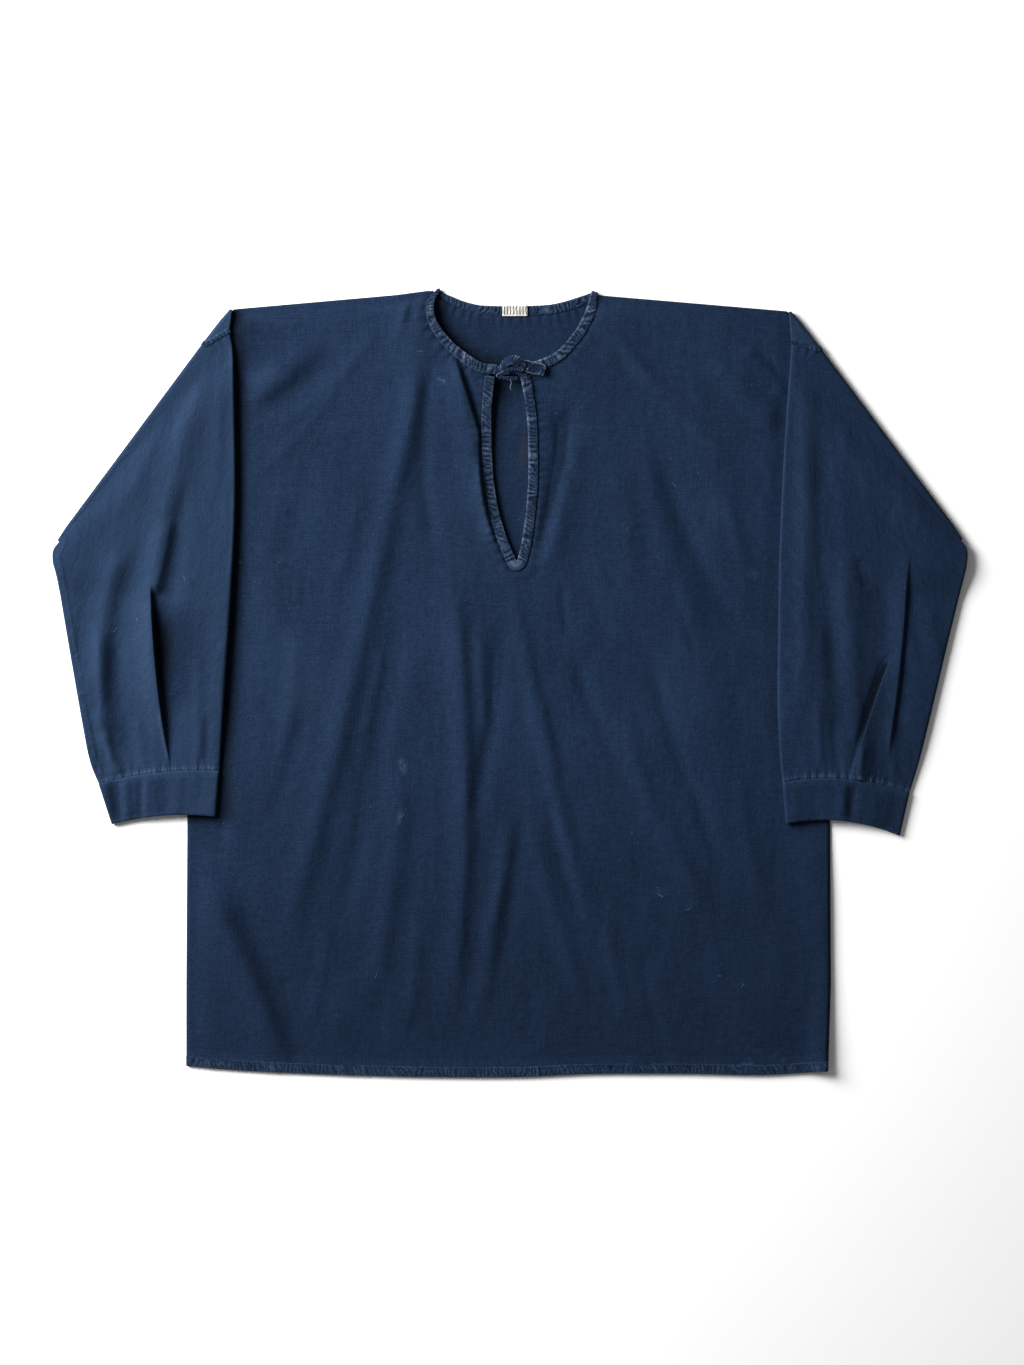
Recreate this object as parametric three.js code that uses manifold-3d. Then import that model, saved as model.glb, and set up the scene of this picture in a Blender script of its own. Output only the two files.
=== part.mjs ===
// A cotton pull-on smock laid flat, front up, with both sleeves folded over at the shoulders.
// Millimetres: X runs across the smock, Y from hem to neck, Z up from the table it lies on.
import * as THREE from "three";
import { mergeVertices } from "three/addons/utils/BufferGeometryUtils.js";
import Module from "manifold-3d";

const wasm = await Module();
wasm.setup();

// Cloth, seams and trims
const clothWall = 1.2;
const cuffWall = 2.0;
const seamGap = 0.3;
const hem = { depth: 10, extra: 1.0, run: 1.5 };
const neckBand = {
  width: 10, thick: 2.2, leastLift: 3.4, tipLean: 20,
  stations: 15, backStations: 16, turnSteps: 8, fanSteps: 4,
};
const slitBand = { width: 10, thick: 2.0, stations: 14, tipSteps: 4 };
const label = { from: -8, to: 16, top: 376, width: 11, thick: 0.8, stations: 5 };
const indigo = { color: 0x24406b, roughness: 0.85, metalness: 0 };
const darkIndigo = { color: 0x1f3760, roughness: 0.88, metalness: 0 };
const creamTape = { color: 0xd9d2c4, roughness: 0.9, metalness: 0 };

// Where the layers lie
const frontFloor = clothWall + seamGap;
const airInBody = 2.2;
const neckRise = { height: 4.2, reach: 55 };
const foldRadius = 2.4;
const foldEnd = { bulge: 0.62, taper: 18 };
const overBody = 3.7;
const drape = { start: 24, end: 62 };
const sleeveAir = { mid: 4.2, edge: 3.0, cuffEnd: 1.6 };

// Outline of the body as it lies
const shoulderLeft = { x: -276.5, y: 373 };
const shoulderRight = { x: 277, y: 371 };
const neckShoulderLeft = { x: -83, y: 390.5 };
const neckShoulderRight = { x: 92, y: 387.5 };
const sideLeft = [
  { y: 373, x: -276.5 }, { y: 336, x: -301.5 }, { y: 148, x: -318.5 },
  { y: -134, x: -322.5 }, { y: -301, x: -323.5 }, { y: -383, x: -323.5 },
];
const sideRight = [
  { y: 371, x: 277 }, { y: 333, x: 305 }, { y: 145, x: 317.5 },
  { y: -147, x: 320 }, { y: -301, x: 320.8 }, { y: -388, x: 318 },
];
const hemLine = [
  { x: -323.5, y: -383 }, { x: -259, y: -388 }, { x: -167, y: -391.8 },
  { x: -75, y: -394 }, { x: 10, y: -394 }, { x: 81, y: -391 },
  { x: 173, y: -390.7 }, { x: 253, y: -392 }, { x: 318, y: -388 },
];

// Edges of the neck opening and of the slit. Each tip is where the neck's band turns over the shoulder.
const tipLeft = { x: -73, y: 392, side: -1 };
const tipRight = { x: 81, y: 389.5, side: 1 };
const frontNeckLeft = [
  { x: -13, y: 317 }, { x: -31, y: 320.5 }, { x: -56, y: 339 },
  { x: -73, y: 361 }, { x: -76, y: 380 }, tipLeft,
];
const frontNeckRight = [{ x: 12, y: 316 }, { x: 43, y: 328 }, { x: 62, y: 347 }, { x: 74, y: 368 }, tipRight];
const backNeck = [
  { x: -67, y: 389.5 }, { x: -57, y: 385.5 }, { x: -44, y: 380.5 }, { x: -26, y: 377 }, { x: 6, y: 376.5 },
  { x: 36, y: 377.5 }, { x: 52, y: 380.3 }, { x: 66, y: 384.5 }, { x: 75, y: 387.5 },
];
const slitLeft = [
  { x: -15, y: 305 }, { x: -18, y: 276 }, { x: -18.3, y: 250 }, { x: -16.5, y: 206 },
  { x: -11, y: 172 }, { x: -3, y: 145 }, { x: 7, y: 121 },
];
const slitRight = [
  { x: 10.5, y: 304.5 }, { x: 15.5, y: 276 }, { x: 17.8, y: 250 }, { x: 18.2, y: 204 },
  { x: 15.5, y: 168 }, { x: 11.5, y: 140 }, { x: 7, y: 121 },
];

// Soft folds of the front: a line from one end to the other, how far it bows aside,
// its width on each side and its height
const frontFolds = [
  { fromX: -86, fromY: 342, toX: -234, toY: -298, bow: 7, left: 13, right: 11, height: 3.6 },
  { fromX: -90, fromY: 318, toX: -116, toY: 182, bow: 0, left: 9, right: 9, height: 1.8 },
  { fromX: -59, fromY: 122, toX: -59, toY: -348, bow: 14, left: 10, right: 8, height: 4.2 },
  { fromX: 2, fromY: 106, toX: 85, toY: -262, bow: -6, left: 9, right: 9, height: 3.4 },
  { fromX: 19, fromY: -127, toX: 80, toY: -338, bow: -3, left: 9, right: 9, height: 2.8 },
  { fromX: 0, fromY: -122, toX: -36, toY: -348, bow: 5, left: 10, right: 10, height: 2.8 },
  { fromX: 101, fromY: -8, toX: 210, toY: -252, bow: -6, left: 11, right: 12, height: 3.2 },
  { fromX: -293, fromY: -215, toX: -249, toY: -368, bow: 4, left: 11, right: 10, height: 3.8 },
  { fromX: -108, fromY: -72, toX: -146, toY: -338, bow: 9, left: 12, right: 10, height: 2.4 },
  { fromX: -60, fromY: 322, toX: -27, toY: 150, bow: 4, left: 14, right: 8, height: 4.4 },
  { fromX: 66, fromY: 262, toX: 34, toY: 106, bow: 5, left: 9, right: 13, height: 2.6 },
  { fromX: 134, fromY: 240, toX: 192, toY: 40, bow: -6, left: 12, right: 12, height: 2.4 },
  { fromX: -186, fromY: 342, toX: -264, toY: 276, bow: 3, left: 11, right: 9, height: 3.0 },
  { fromX: 196, fromY: 322, toX: 268, toY: 250, bow: 4, left: 10, right: 12, height: 2.8 },
  { fromX: -76, fromY: 332, toX: -74, toY: 122, bow: -11, left: 8, right: 8, height: -2.0 },
  { fromX: -106, fromY: 102, toX: -171, toY: -252, bow: 5, left: 10, right: 10, height: -2.4 },
  { fromX: -8, fromY: 70, toX: -40, toY: -148, bow: 6, left: 9, right: 9, height: -2.0 },
  { fromX: 13, fromY: -100, toX: -16, toY: -302, bow: 5, left: 8, right: 8, height: -2.2 },
  { fromX: 37, fromY: -108, toX: 75, toY: -244, bow: -3, left: 7, right: 7, height: -1.8 },
  { fromX: 62, fromY: 30, toX: 110, toY: -84, bow: -3, left: 8, right: 8, height: -1.8 },
  { fromX: 149, fromY: 238, toX: 250, toY: 20, bow: -12, left: 9, right: 10, height: -2.2 },
  { fromX: 137, fromY: 38, toX: 218, toY: -204, bow: -5, left: 9, right: 10, height: -2.2 },
  { fromX: 60, fromY: 290, toX: 24, toY: 112, bow: 4, left: 7, right: 8, height: -2.4 },
  { fromX: -275, fromY: -218, toX: -228, toY: -372, bow: 6, left: 8, right: 11, height: -2.2 },
  { fromX: 240, fromY: 332, toX: 266, toY: 286, bow: 2, left: 8, right: 8, height: -2.0 },
];

// Folds of each sleeve's upper face. A pleat is steep on one side.
const sleeveFoldsLeft = [
  { fromX: -354, fromY: 112, toX: -332, toY: -98, bow: -3, left: 17, right: 5, height: 5.0 },
  { fromX: -300, fromY: 330, toX: -366, toY: 60, bow: -4, left: 13, right: 12, height: 3.0 },
  { fromX: -322, fromY: 205, toX: -340, toY: 60, bow: -3, left: 9, right: 10, height: -2.4 },
  { fromX: -362, fromY: 150, toX: -396, toY: -62, bow: -12, left: 10, right: 12, height: -2.6 },
  { fromX: -384, fromY: 146, toX: -412, toY: -30, bow: -9, left: 10, right: 10, height: 2.6 },
  { fromX: -410, fromY: -48, toX: -392, toY: -98, bow: 2, left: 6, right: 6, height: 2.6 },
];
const sleeveFoldsRight = [
  { fromX: 384, fromY: 46, toX: 338, toY: -106, bow: 3, left: 5, right: 16, height: 4.6 },
  { fromX: 392, fromY: 150, toX: 374, toY: -96, bow: 9, left: 14, right: 6, height: 3.6 },
  { fromX: 304, fromY: 262, toX: 322, toY: -30, bow: 6, left: 10, right: 10, height: -2.2 },
  { fromX: 330, fromY: 140, toX: 346, toY: -70, bow: -2, left: 12, right: 12, height: 2.4 },
  { fromX: 292, fromY: 330, toX: 288, toY: -40, bow: 4, left: 9, right: 11, height: 2.2 },
];

// Sleeves and cuffs as they lie folded over. Each runs down an inner edge and an outer edge.
const sleeveLeft = {
  side: -1,
  seam: { inner: { x: -301.9, y: 335.5 }, outer: { x: -318.8, y: 149 } },
  fold: { inner: { x: -304.2, y: 336.7 }, outer: { x: -450, y: 140.5 } },
  corner: { top: { x: -279.5, y: 370 }, inner: { x: -280.2, y: 352.4 }, outer: { x: -303.5, y: 337.7 } },
  inner: [
    { x: -280.3, y: 351.4 }, { x: -277, y: 330 }, { x: -276.5, y: 283 }, { x: -276.5, y: 182 },
    { x: -281, y: 90 }, { x: -285.5, y: 22 }, { x: -288, y: -35 }, { x: -290, y: -88.5 },
  ],
  outer: [
    { x: -450, y: 140.5 }, { x: -456, y: 132 }, { x: -456.3, y: 120 }, { x: -452, y: 102 },
    { x: -441.5, y: 40 }, { x: -427.5, y: -40 }, { x: -420, y: -78 }, { x: -411, y: -101.5 },
  ],
  bow: 5,
  cuff: {
    top: { inner: { x: -290, y: -88.8 }, outer: { x: -411, y: -101.8 } },
    end: { inner: { x: -293.5, y: -133.8 }, outer: { x: -398, y: -141.7 } },
  },
  folds: sleeveFoldsLeft,
};
const sleeveRight = {
  side: 1,
  seam: { inner: { x: 305.4, y: 332.5 }, outer: { x: 317.8, y: 146.5 } },
  fold: { inner: { x: 308, y: 331 }, outer: { x: 450, y: 141.5 } },
  corner: { top: { x: 281, y: 367 }, inner: { x: 281.4, y: 341 }, outer: { x: 307.3, y: 332 } },
  inner: [
    { x: 281.3, y: 340 }, { x: 280.2, y: 326 }, { x: 276.9, y: 283 }, { x: 272.8, y: 217 },
    { x: 268.9, y: 130 }, { x: 267.7, y: 57 }, { x: 267, y: -15 }, { x: 268.9, y: -64 }, { x: 272, y: -100 },
  ],
  outer: [
    { x: 450, y: 141.5 }, { x: 456, y: 134 }, { x: 456.3, y: 121 }, { x: 452.5, y: 102 },
    { x: 437.5, y: 40 }, { x: 418.5, y: -40 }, { x: 409, y: -78 }, { x: 399, y: -111 },
  ],
  bow: 9,
  cuff: {
    top: { inner: { x: 272, y: -100.3 }, outer: { x: 399, y: -111.3 } },
    end: { inner: { x: 275, y: -141 }, outer: { x: 389.5, y: -153.3 } },
  },
  folds: sleeveFoldsRight,
};

// Mesh density
const frontGrid = { columns: 42, armholeRows: 6, lowerRows: 14 };
const backGrid = { columns: 20, armholeRows: 2, lowerRows: 2 };
const sleeveStations = 16;
const turnSteps = 5;
const cuffStations = 4;
const aroundSleeve = { top: 19, bottom: 12 };
const aroundCuff = { top: 13, bottom: 13 };
const aroundCorner = { top: 9, bottom: 9 };
const seamRungs = 3;
const cornerRungs = 3;

const mix = (a, b, t) => a + (b - a) * t;
const between = (p, q, t) => ({ x: mix(p.x, q.x, t), y: mix(p.y, q.y, t) });
const apart = (p, q) => Math.hypot(q.x - p.x, q.y - p.y);
const evenly = (count) => Array.from({ length: count + 1 }, (_, i) => i / count);
const smooth = (low, high, value) => {
  const t = Math.min(1, Math.max(0, (value - low) / (high - low)));
  return t * t * (3 - 2 * t);
};

// A smooth curve through plan points, read by its share of length
function curveThrough(points) {
  const curve = new THREE.SplineCurve(points.map(({ x, y }) => new THREE.Vector2(x, y)));
  curve.arcLengthDivisions = 400;
  return curve;
}

// The x that a table of an edge gives at a y, with rows from the top down
function edgeAt(table, y) {
  const next = table.findIndex((row) => row.y <= y);
  if (next === 0) return table[0].x;
  if (next < 0) return table[table.length - 1].x;
  const [above, below] = [table[next - 1], table[next]];
  return mix(above.x, below.x, (y - above.y) / (below.y - above.y));
}

// The height that a table of folds gives at a plan point
function foldsAt(folds, x, y) {
  return folds.reduce((sum, fold) => {
    const [dx, dy] = [fold.toX - fold.fromX, fold.toY - fold.fromY];
    const length = Math.hypot(dx, dy);
    const along = ((x - fold.fromX) * dx + (y - fold.fromY) * dy) / (length * length);
    if (along <= 0 || along >= 1) return sum;
    const bowed = fold.bow * 4 * along * (1 - along);
    const aside = ((x - fold.fromX) * -dy + (y - fold.fromY) * dx) / length - bowed;
    const width = aside > 0 ? fold.right : fold.left;
    const taper = smooth(0, 0.22, along) * smooth(0, 0.22, 1 - along);
    return sum + fold.height * taper * Math.exp(-((aside / width) ** 2));
  }, 0);
}

// The shoulder line, which crosses the neck opening straight from tip to tip
function shoulderHeight(x) {
  const line = [shoulderLeft, neckShoulderLeft, neckShoulderRight, shoulderRight];
  const next = Math.max(1, line.findIndex((point) => point.x >= x));
  const [before, after] = [line[next - 1], line[next]];
  return mix(before.y, after.y, (x - before.x) / (after.x - before.x));
}

// How far a point is inside the body's side edges, and how much a folded sleeve presses on it
const insideSides = (x, y) => Math.min(x - edgeAt(sideLeft, y), edgeAt(sideRight, y) - x);
function underSleeve(x, y) {
  const rim = 16;
  const sleeve = x < 0 ? sleeveLeft : sleeveRight;
  const past = (x - edgeAt(sleeve.inner, y)) * sleeve.side + rim;
  return smooth(0, rim, past) * smooth(-185, -150, y);
}

// The underside of the front, above the back panel
function frontUnder(x, y) {
  const edge = smooth(0, 26, insideSides(x, y));
  const shoulder = smooth(0, 22, shoulderHeight(x) - y);
  const open = 1 - 0.55 * smooth(-330, -394, y);
  const neckDistance = Math.abs(Math.hypot((x - 3) / 78, (y - 388) / 74) - 1) * 76;
  const rise = neckRise.height * Math.exp(-((neckDistance / neckRise.reach) ** 2));
  const free = Math.max(0, airInBody + rise + foldsAt(frontFolds, x, y));
  return frontFloor + free * edge * shoulder * open * (1 - 0.93 * underSleeve(x, y));
}

// What a folded sleeve lies on: the body, its own unfolded part, or the table
function sleeveFloor(sleeve, x, y) {
  const sideTable = sleeve.side < 0 ? sideLeft : sideRight;
  const beyondBody = (x - edgeAt(sideTable, y)) * sleeve.side;
  const [armpit, elbow] = [sleeve.seam.outer, sleeve.fold.outer];
  const underarm = mix(armpit.y, elbow.y, Math.min(1, Math.abs((x - armpit.x) / (elbow.x - armpit.x))));
  const onBody = 1 - smooth(drape.start, drape.end, beyondBody);
  const onSleeve = 1 - smooth(drape.start, drape.end, underarm - y);
  return overBody * Math.max(onBody, onSleeve);
}

// One closed solid from points and triangles, with its faces turned outwards
function closedSolid(points, triangles) {
  const volume = triangles.reduce((sum, [a, b, c]) => (
    sum + points[a].dot(points[b].clone().cross(points[c]))), 0);
  const facing = volume < 0 ? triangles.map(([a, b, c]) => [a, c, b]) : triangles;
  const geometry = new THREE.BufferGeometry().setFromPoints(points);
  geometry.setIndex(facing.flat());
  geometry.computeVertexNormals();
  return geometry;
}

// The two triangles of a four-sided face
const quad = (a, b, c, d) => [[a, b, c], [a, c, d]];

// A wall between two grids of points with the same rows and columns
function sheetSolid(upper, lower) {
  const [rows, columns] = [upper.length, upper[0].length];
  const [foot, last] = [rows - 1, columns - 1];
  const top = (r, c) => r * columns + c;
  const under = (r, c) => rows * columns + top(r, c);
  const triangles = [];
  for (let r = 0; r < rows - 1; r++) {
    for (let c = 0; c < columns - 1; c++) {
      triangles.push(...quad(top(r, c), top(r + 1, c), top(r + 1, c + 1), top(r, c + 1)));
      triangles.push(...quad(under(r, c), under(r, c + 1), under(r + 1, c + 1), under(r + 1, c)));
    }
    triangles.push(...quad(top(r, 0), under(r, 0), under(r + 1, 0), top(r + 1, 0)));
    triangles.push(...quad(top(r + 1, last), under(r + 1, last), under(r, last), top(r, last)));
  }
  for (let c = 0; c < columns - 1; c++) {
    triangles.push(...quad(top(0, c + 1), under(0, c + 1), under(0, c), top(0, c)));
    triangles.push(...quad(top(foot, c), under(foot, c), under(foot, c + 1), top(foot, c + 1)));
  }
  return closedSolid([...upper.flat(), ...lower.flat()], triangles);
}

// A solid through rings of points, closed by a flat end at each side
function loftSolid(rings) {
  const size = rings[0].length;
  const triangles = [];
  for (let s = 0; s < rings.length - 1; s++) {
    for (let i = 0; i < size; i++) {
      const j = (i + 1) % size;
      triangles.push(...quad(s * size + i, s * size + j, (s + 1) * size + j, (s + 1) * size + i));
    }
  }
  const last = (rings.length - 1) * size;
  for (let i = 1; i < size - 1; i++) {
    triangles.push([0, i + 1, i], [last, last + i, last + i + 1]);
  }
  return closedSolid(rings.flat(), triangles);
}

// A tube wall between outer and inner rings, open at both ends
function tubeSolid(outer, inner) {
  const size = outer[0].length;
  const offset = outer.length * size;
  const triangles = [];
  for (let s = 0; s < outer.length - 1; s++) {
    for (let i = 0; i < size; i++) {
      const [a, b] = [s * size + i, s * size + ((i + 1) % size)];
      triangles.push(...quad(a, b, b + size, a + size));
      triangles.push(...quad(offset + a, offset + a + size, offset + b + size, offset + b));
    }
  }
  const last = (outer.length - 1) * size;
  for (let i = 0; i < size; i++) {
    const j = (i + 1) % size;
    triangles.push(...quad(i, offset + i, offset + j, j));
    triangles.push(...quad(last + j, offset + last + j, offset + last + i, last + i));
  }
  return closedSolid([...outer.flat(), ...inner.flat()], triangles);
}

// A closed geometry as a solid for cutting, and a solid's faces as a geometry
function toSolid(geometry) {
  const bare = geometry.clone();
  bare.deleteAttribute("normal");
  bare.deleteAttribute("uv");
  const merged = mergeVertices(bare, 1e-4);
  const vertProperties = new Float32Array(merged.attributes.position.array);
  const triVerts = new Uint32Array(merged.index.array);
  return new wasm.Manifold(new wasm.Mesh({ numProp: 3, vertProperties, triVerts }));
}
function fromSolid(solid) {
  const { vertProperties, triVerts } = solid.getMesh();
  const geometry = new THREE.BufferGeometry();
  geometry.setAttribute("position", new THREE.BufferAttribute(new Float32Array(vertProperties), 3));
  geometry.setIndex([...triVerts]);
  geometry.computeVertexNormals();
  return geometry;
}

const point3 = ({ x, y }, z) => new THREE.Vector3(x, y, z);
const necks = {
  left: curveThrough(frontNeckLeft),
  right: curveThrough(frontNeckRight),
  back: curveThrough(backNeck),
};
const slits = { left: curveThrough(slitLeft), right: curveThrough(slitRight) };
const hemCurve = curveThrough(hemLine);

// Rows of plan points from the shoulder line to the hem, with both side edges followed
function panelPlan({ columns, armholeRows, lowerRows }) {
  const length = shoulderLeft.y - hemLine[0].y;
  const [seamTop, armpit] = [sideLeft[1], sideLeft[2]].map(({ y }) => (shoulderLeft.y - y) / length);
  const rowShares = [
    0,
    ...evenly(armholeRows).map((t) => mix(seamTop, armpit, t)),
    ...evenly(lowerRows).slice(1).map((t) => mix(armpit, 1, t)),
  ];
  const [hemStart, hemEnd] = [hemCurve.getPointAt(0), hemCurve.getPointAt(1)];
  const column = (share) => {
    const lean = share * 2 - 1;
    const x = mix(shoulderLeft.x, shoulderRight.x, share);
    const top = { x, y: shoulderHeight(x) };
    const foot = hemCurve.getPointAt(share);
    const stitching = { x: foot.x, y: foot.y + hem.depth };
    const aboveHem = { x: foot.x, y: stitching.y + hem.run };
    const line = [...rowShares.map((t) => between(top, aboveHem, t)), stitching, foot];
    const side = lean < 0 ? sideLeft : sideRight;
    const [corner, end] = lean < 0 ? [shoulderLeft, hemStart] : [shoulderRight, hemEnd];
    return line.map((p) => {
      const straight = mix(corner.x, end.x, (p.y - corner.y) / (end.y - corner.y));
      return { x: p.x + (edgeAt(side, p.y) - straight) * Math.abs(lean) ** 3, y: p.y };
    });
  };
  const grid = evenly(columns).map(column);
  return grid[0].map((_, row) => grid.map((line) => line[row]));
}

// A panel's wall, with the hem's turned-up cloth below its stitching
function panelWall(grid, underside, hemUnderside) {
  const plan = panelPlan(grid);
  const inHem = (row) => row >= plan.length - 2;
  const height = (p, row) => underside(p.x, p.y) + (inHem(row) ? hemUnderside : 0);
  const lower = plan.map((points, row) => points.map((p) => point3(p, height(p, row))));
  const thick = (row) => clothWall + (inHem(row) ? hem.extra : 0);
  const upper = lower.map((points, row) => points.map((p) => new THREE.Vector3(p.x, p.y, p.z + thick(row))));
  return sheetSolid(upper, lower);
}

// A panel with an opening cut out of it, whose edge lies a seam gap beside its binding
function cutPanel(panel, outline) {
  const depth = 60;
  const shape = new THREE.Shape(outline.map(({ x, y }) => new THREE.Vector2(x, y)));
  const prism = new THREE.ExtrudeGeometry(shape, { depth, bevelEnabled: false });
  prism.translate(0, 0, -depth / 2);
  return fromSolid(toSolid(panel).subtract(toSolid(prism)));
}

// Shares across a flattened tube, close together where its edges round over
function sharesAcross(count, width) {
  const rounding = [0, 0.5, 2, 4.5].map((mm) => mm / width);
  const middle = evenly(count - 7).map((t) => mix(rounding[3], 1 - rounding[3], t));
  return [...rounding.slice(0, 3), ...middle, ...rounding.slice(0, 3).reverse().map((t) => 1 - t)];
}

// How full a rounded edge is, from 0 at the edge to 1 once it is a half thickness in
function edgeFullness(distance, radius) {
  if (distance >= radius) return 1;
  return Math.sqrt(Math.max(0, 1 - (1 - distance / radius) ** 2));
}

// A ring round a flattened tube, over its top and back under it. place gives the point at a share and a side.
function aroundTube(width, count, place) {
  const over = sharesAcross(count.top, width).map((share) => place(share, 1));
  const under = sharesAcross(count.bottom, width).slice(1, -1).reverse().map((share) => place(share, -1));
  return [...over, ...under];
}

// One ring of a flattened tube: a rung across it, the floor below it and its thickness,
// less an inset for the inner face
function flatRing(rung, count, inset) {
  const width = apart(rung.inner, rung.outer);
  return aroundTube(width, count, (share, up) => {
    const t = mix(inset / width, 1 - inset / width, share);
    const straight = between(rung.inner, rung.outer, t);
    const p = { x: straight.x, y: straight.y + rung.bow * 4 * t * (1 - t) };
    const thick = rung.thick(t, p) - 2 * inset;
    const middle = rung.floor(p) + thick / 2 + inset;
    const fromEdge = Math.min(share, 1 - share) * (width - 2 * inset);
    return point3(p, middle + (up * thick * edgeFullness(fromEdge, thick / 2)) / 2);
  });
}

// One ring turned about the sleeve's fold. turn is 0 on the table and 1 once the cloth lies face down.
function turnedRing(rung, side, count, turn, inset, freeEnd) {
  const thick = 2 * clothWall + seamGap - 2 * inset;
  const width = apart(rung.inner, rung.outer);
  const [dx, dy] = [(rung.outer.x - rung.inner.x) / width, (rung.outer.y - rung.inner.y) / width];
  const outwards = new THREE.Vector3(side * Math.abs(dy), Math.abs(dx), 0);
  const angle = turn * Math.PI;
  const height = clothWall + seamGap / 2 + foldRadius * (1 - Math.cos(angle));
  const faceUp = new THREE.Vector3(0, 0, Math.cos(angle)).addScaledVector(outwards, -Math.sin(angle));
  return aroundTube(width, count, (share, up) => {
    const t = mix(inset / width, 1 - inset / width, share);
    const p = between(rung.inner, rung.outer, t);
    const fromEdge = Math.min(share, 1 - share) * (width - 2 * inset);
    const half = (up * thick * edgeFullness(fromEdge, thick / 2)) / 2;
    const fromFreeEnd = Math.abs(freeEnd - t) * width;
    const fullBulge = foldRadius * mix(foldEnd.bulge, 1, smooth(0, foldEnd.taper, fromFreeEnd));
    const bulge = fullBulge * Math.sin(angle);
    return point3(p, height).addScaledVector(outwards, bulge).addScaledVector(faceUp, -half);
  });
}

// How thick the folded sleeve is with the air in it
function sleeveThickness(sleeve, t, p, down) {
  const start = 2 * clothWall + seamGap;
  const swell = smooth(0, 0.12, down) * mix(1, sleeveAir.cuffEnd / sleeveAir.mid, smooth(0.75, 1, down));
  const crown = sleeveAir.edge + (sleeveAir.mid - sleeveAir.edge) * Math.sin(Math.PI * t);
  const folds = foldsAt(sleeve.folds, p.x, p.y) * smooth(0, 0.08, t) * smooth(0, 0.08, 1 - t);
  return Math.max(start, start + crown * swell + folds * smooth(0, 0.1, down));
}

// A tube wall through rings made once for its outside and once for its inside
function tubeOf(rings, wall) {
  return tubeSolid(rings.map((ring) => ring(0)), rings.map((ring) => ring(wall)));
}

function sleeveSolid(sleeve) {
  const { side, seam, fold } = sleeve;
  const beforeFold = [0, 0.5].map((share) => (inset) => turnedRing({
    inner: between(seam.inner, fold.inner, share),
    outer: between(seam.outer, fold.outer, share),
  }, side, aroundSleeve, 0, inset, 1));
  const overFold = evenly(turnSteps).map((turn) => (
    (inset) => turnedRing(fold, side, aroundSleeve, turn, inset, 1)));
  const innerEdge = curveThrough(sleeve.inner);
  const outerEdge = curveThrough(sleeve.outer);
  const foldedHigh = 2 * foldRadius - overBody;
  const alongSeam = evenly(seamRungs).slice(1, -1).map((share) => (inset) => flatRing({
    inner: between(fold.inner, sleeve.inner[0], share),
    outer: fold.outer,
    bow: 0,
    floor: () => 2 * foldRadius,
    thick: () => 2 * clothWall + seamGap,
  }, aroundSleeve, inset));
  const afterFold = evenly(sleeveStations).map((down) => (inset) => flatRing({
    inner: innerEdge.getPointAt(down),
    outer: outerEdge.getPointAt(down),
    bow: sleeve.bow * smooth(0.55, 1, down),
    floor: (p) => sleeveFloor(sleeve, p.x, p.y) + foldedHigh * (1 - smooth(0, 0.25, down)),
    thick: (t, p) => sleeveThickness(sleeve, t, p, down),
  }, aroundSleeve, inset));
  return tubeOf([...beforeFold, ...overFold, ...alongSeam, ...afterFold], clothWall);
}

// The body's shoulder corner, front and back together, which folds over with the sleeve
function cornerSolid({ side, corner }) {
  const fold = { inner: corner.top, outer: corner.outer };
  const overFold = evenly(turnSteps).map((turn) => turnedRing(fold, side, aroundCorner, turn, 0, 0));
  const afterFold = evenly(cornerRungs).slice(1).map((share) => flatRing({
    inner: between(corner.top, corner.inner, share),
    outer: corner.outer,
    bow: 0,
    floor: () => 2 * foldRadius,
    thick: () => 2 * clothWall + seamGap,
  }, aroundCorner, 0));
  return loftSolid([...overFold, ...afterFold]);
}

function cuffSolid(sleeve) {
  const { top, end } = sleeve.cuff;
  const rings = evenly(cuffStations).map((down) => (inset) => flatRing({
    inner: between(top.inner, end.inner, down),
    outer: between(top.outer, end.outer, down),
    bow: sleeve.bow,
    floor: (p) => sleeveFloor(sleeve, p.x, p.y),
    thick: () => 2 * cuffWall + mix(1.2, 0.8, down),
  }, aroundCuff, inset));
  return tubeOf(rings, cuffWall);
}

// A strip's section: its folded edge, then across the cloth side. normal points out of its face.
function stripRing({ edge, across, normal, width, thick }) {
  const half = thick / 2;
  const corner = (out, up) => edge.clone().addScaledVector(across, out).addScaledVector(normal, up);
  return [corner(0.5, -half), corner(0, 0), corner(0.5, half), corner(width, half), corner(width, -half)];
}

// A flat station of a strip along a plan curve, with its cloth side to the left or the right of the curve
function flatStation(curve, t, clothSide, strip, height) {
  const edge = curve.getPointAt(t);
  const run = curve.getTangentAt(t);
  return {
    edge: point3(edge, height(edge.x, edge.y)),
    across: new THREE.Vector3(-run.y * clothSide, run.x * clothSide, 0),
    normal: new THREE.Vector3(0, 0, 1),
    width: strip.width,
    thick: strip.thick,
  };
}

// Stations between two others, turning from one's cloth side to the other's
function fanBetween(before, after, steps, height) {
  return evenly(steps).slice(1, -1).map((share) => {
    const across = before.across.clone().lerp(after.across, share).normalize();
    const edge = before.edge.clone().lerp(after.edge, share);
    return { ...before, edge: edge.setZ(height(edge.x, edge.y)), across };
  });
}

// Where the neck's band lies across a shoulder tip, and the way it turns over there
function tipFrame(tip) {
  const lean = (neckBand.tipLean * Math.PI) / 180;
  return {
    across: new THREE.Vector3(tip.side * Math.cos(lean), -Math.sin(lean), 0),
    forward: new THREE.Vector3(tip.side * Math.sin(lean), Math.cos(lean), 0),
  };
}

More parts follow.
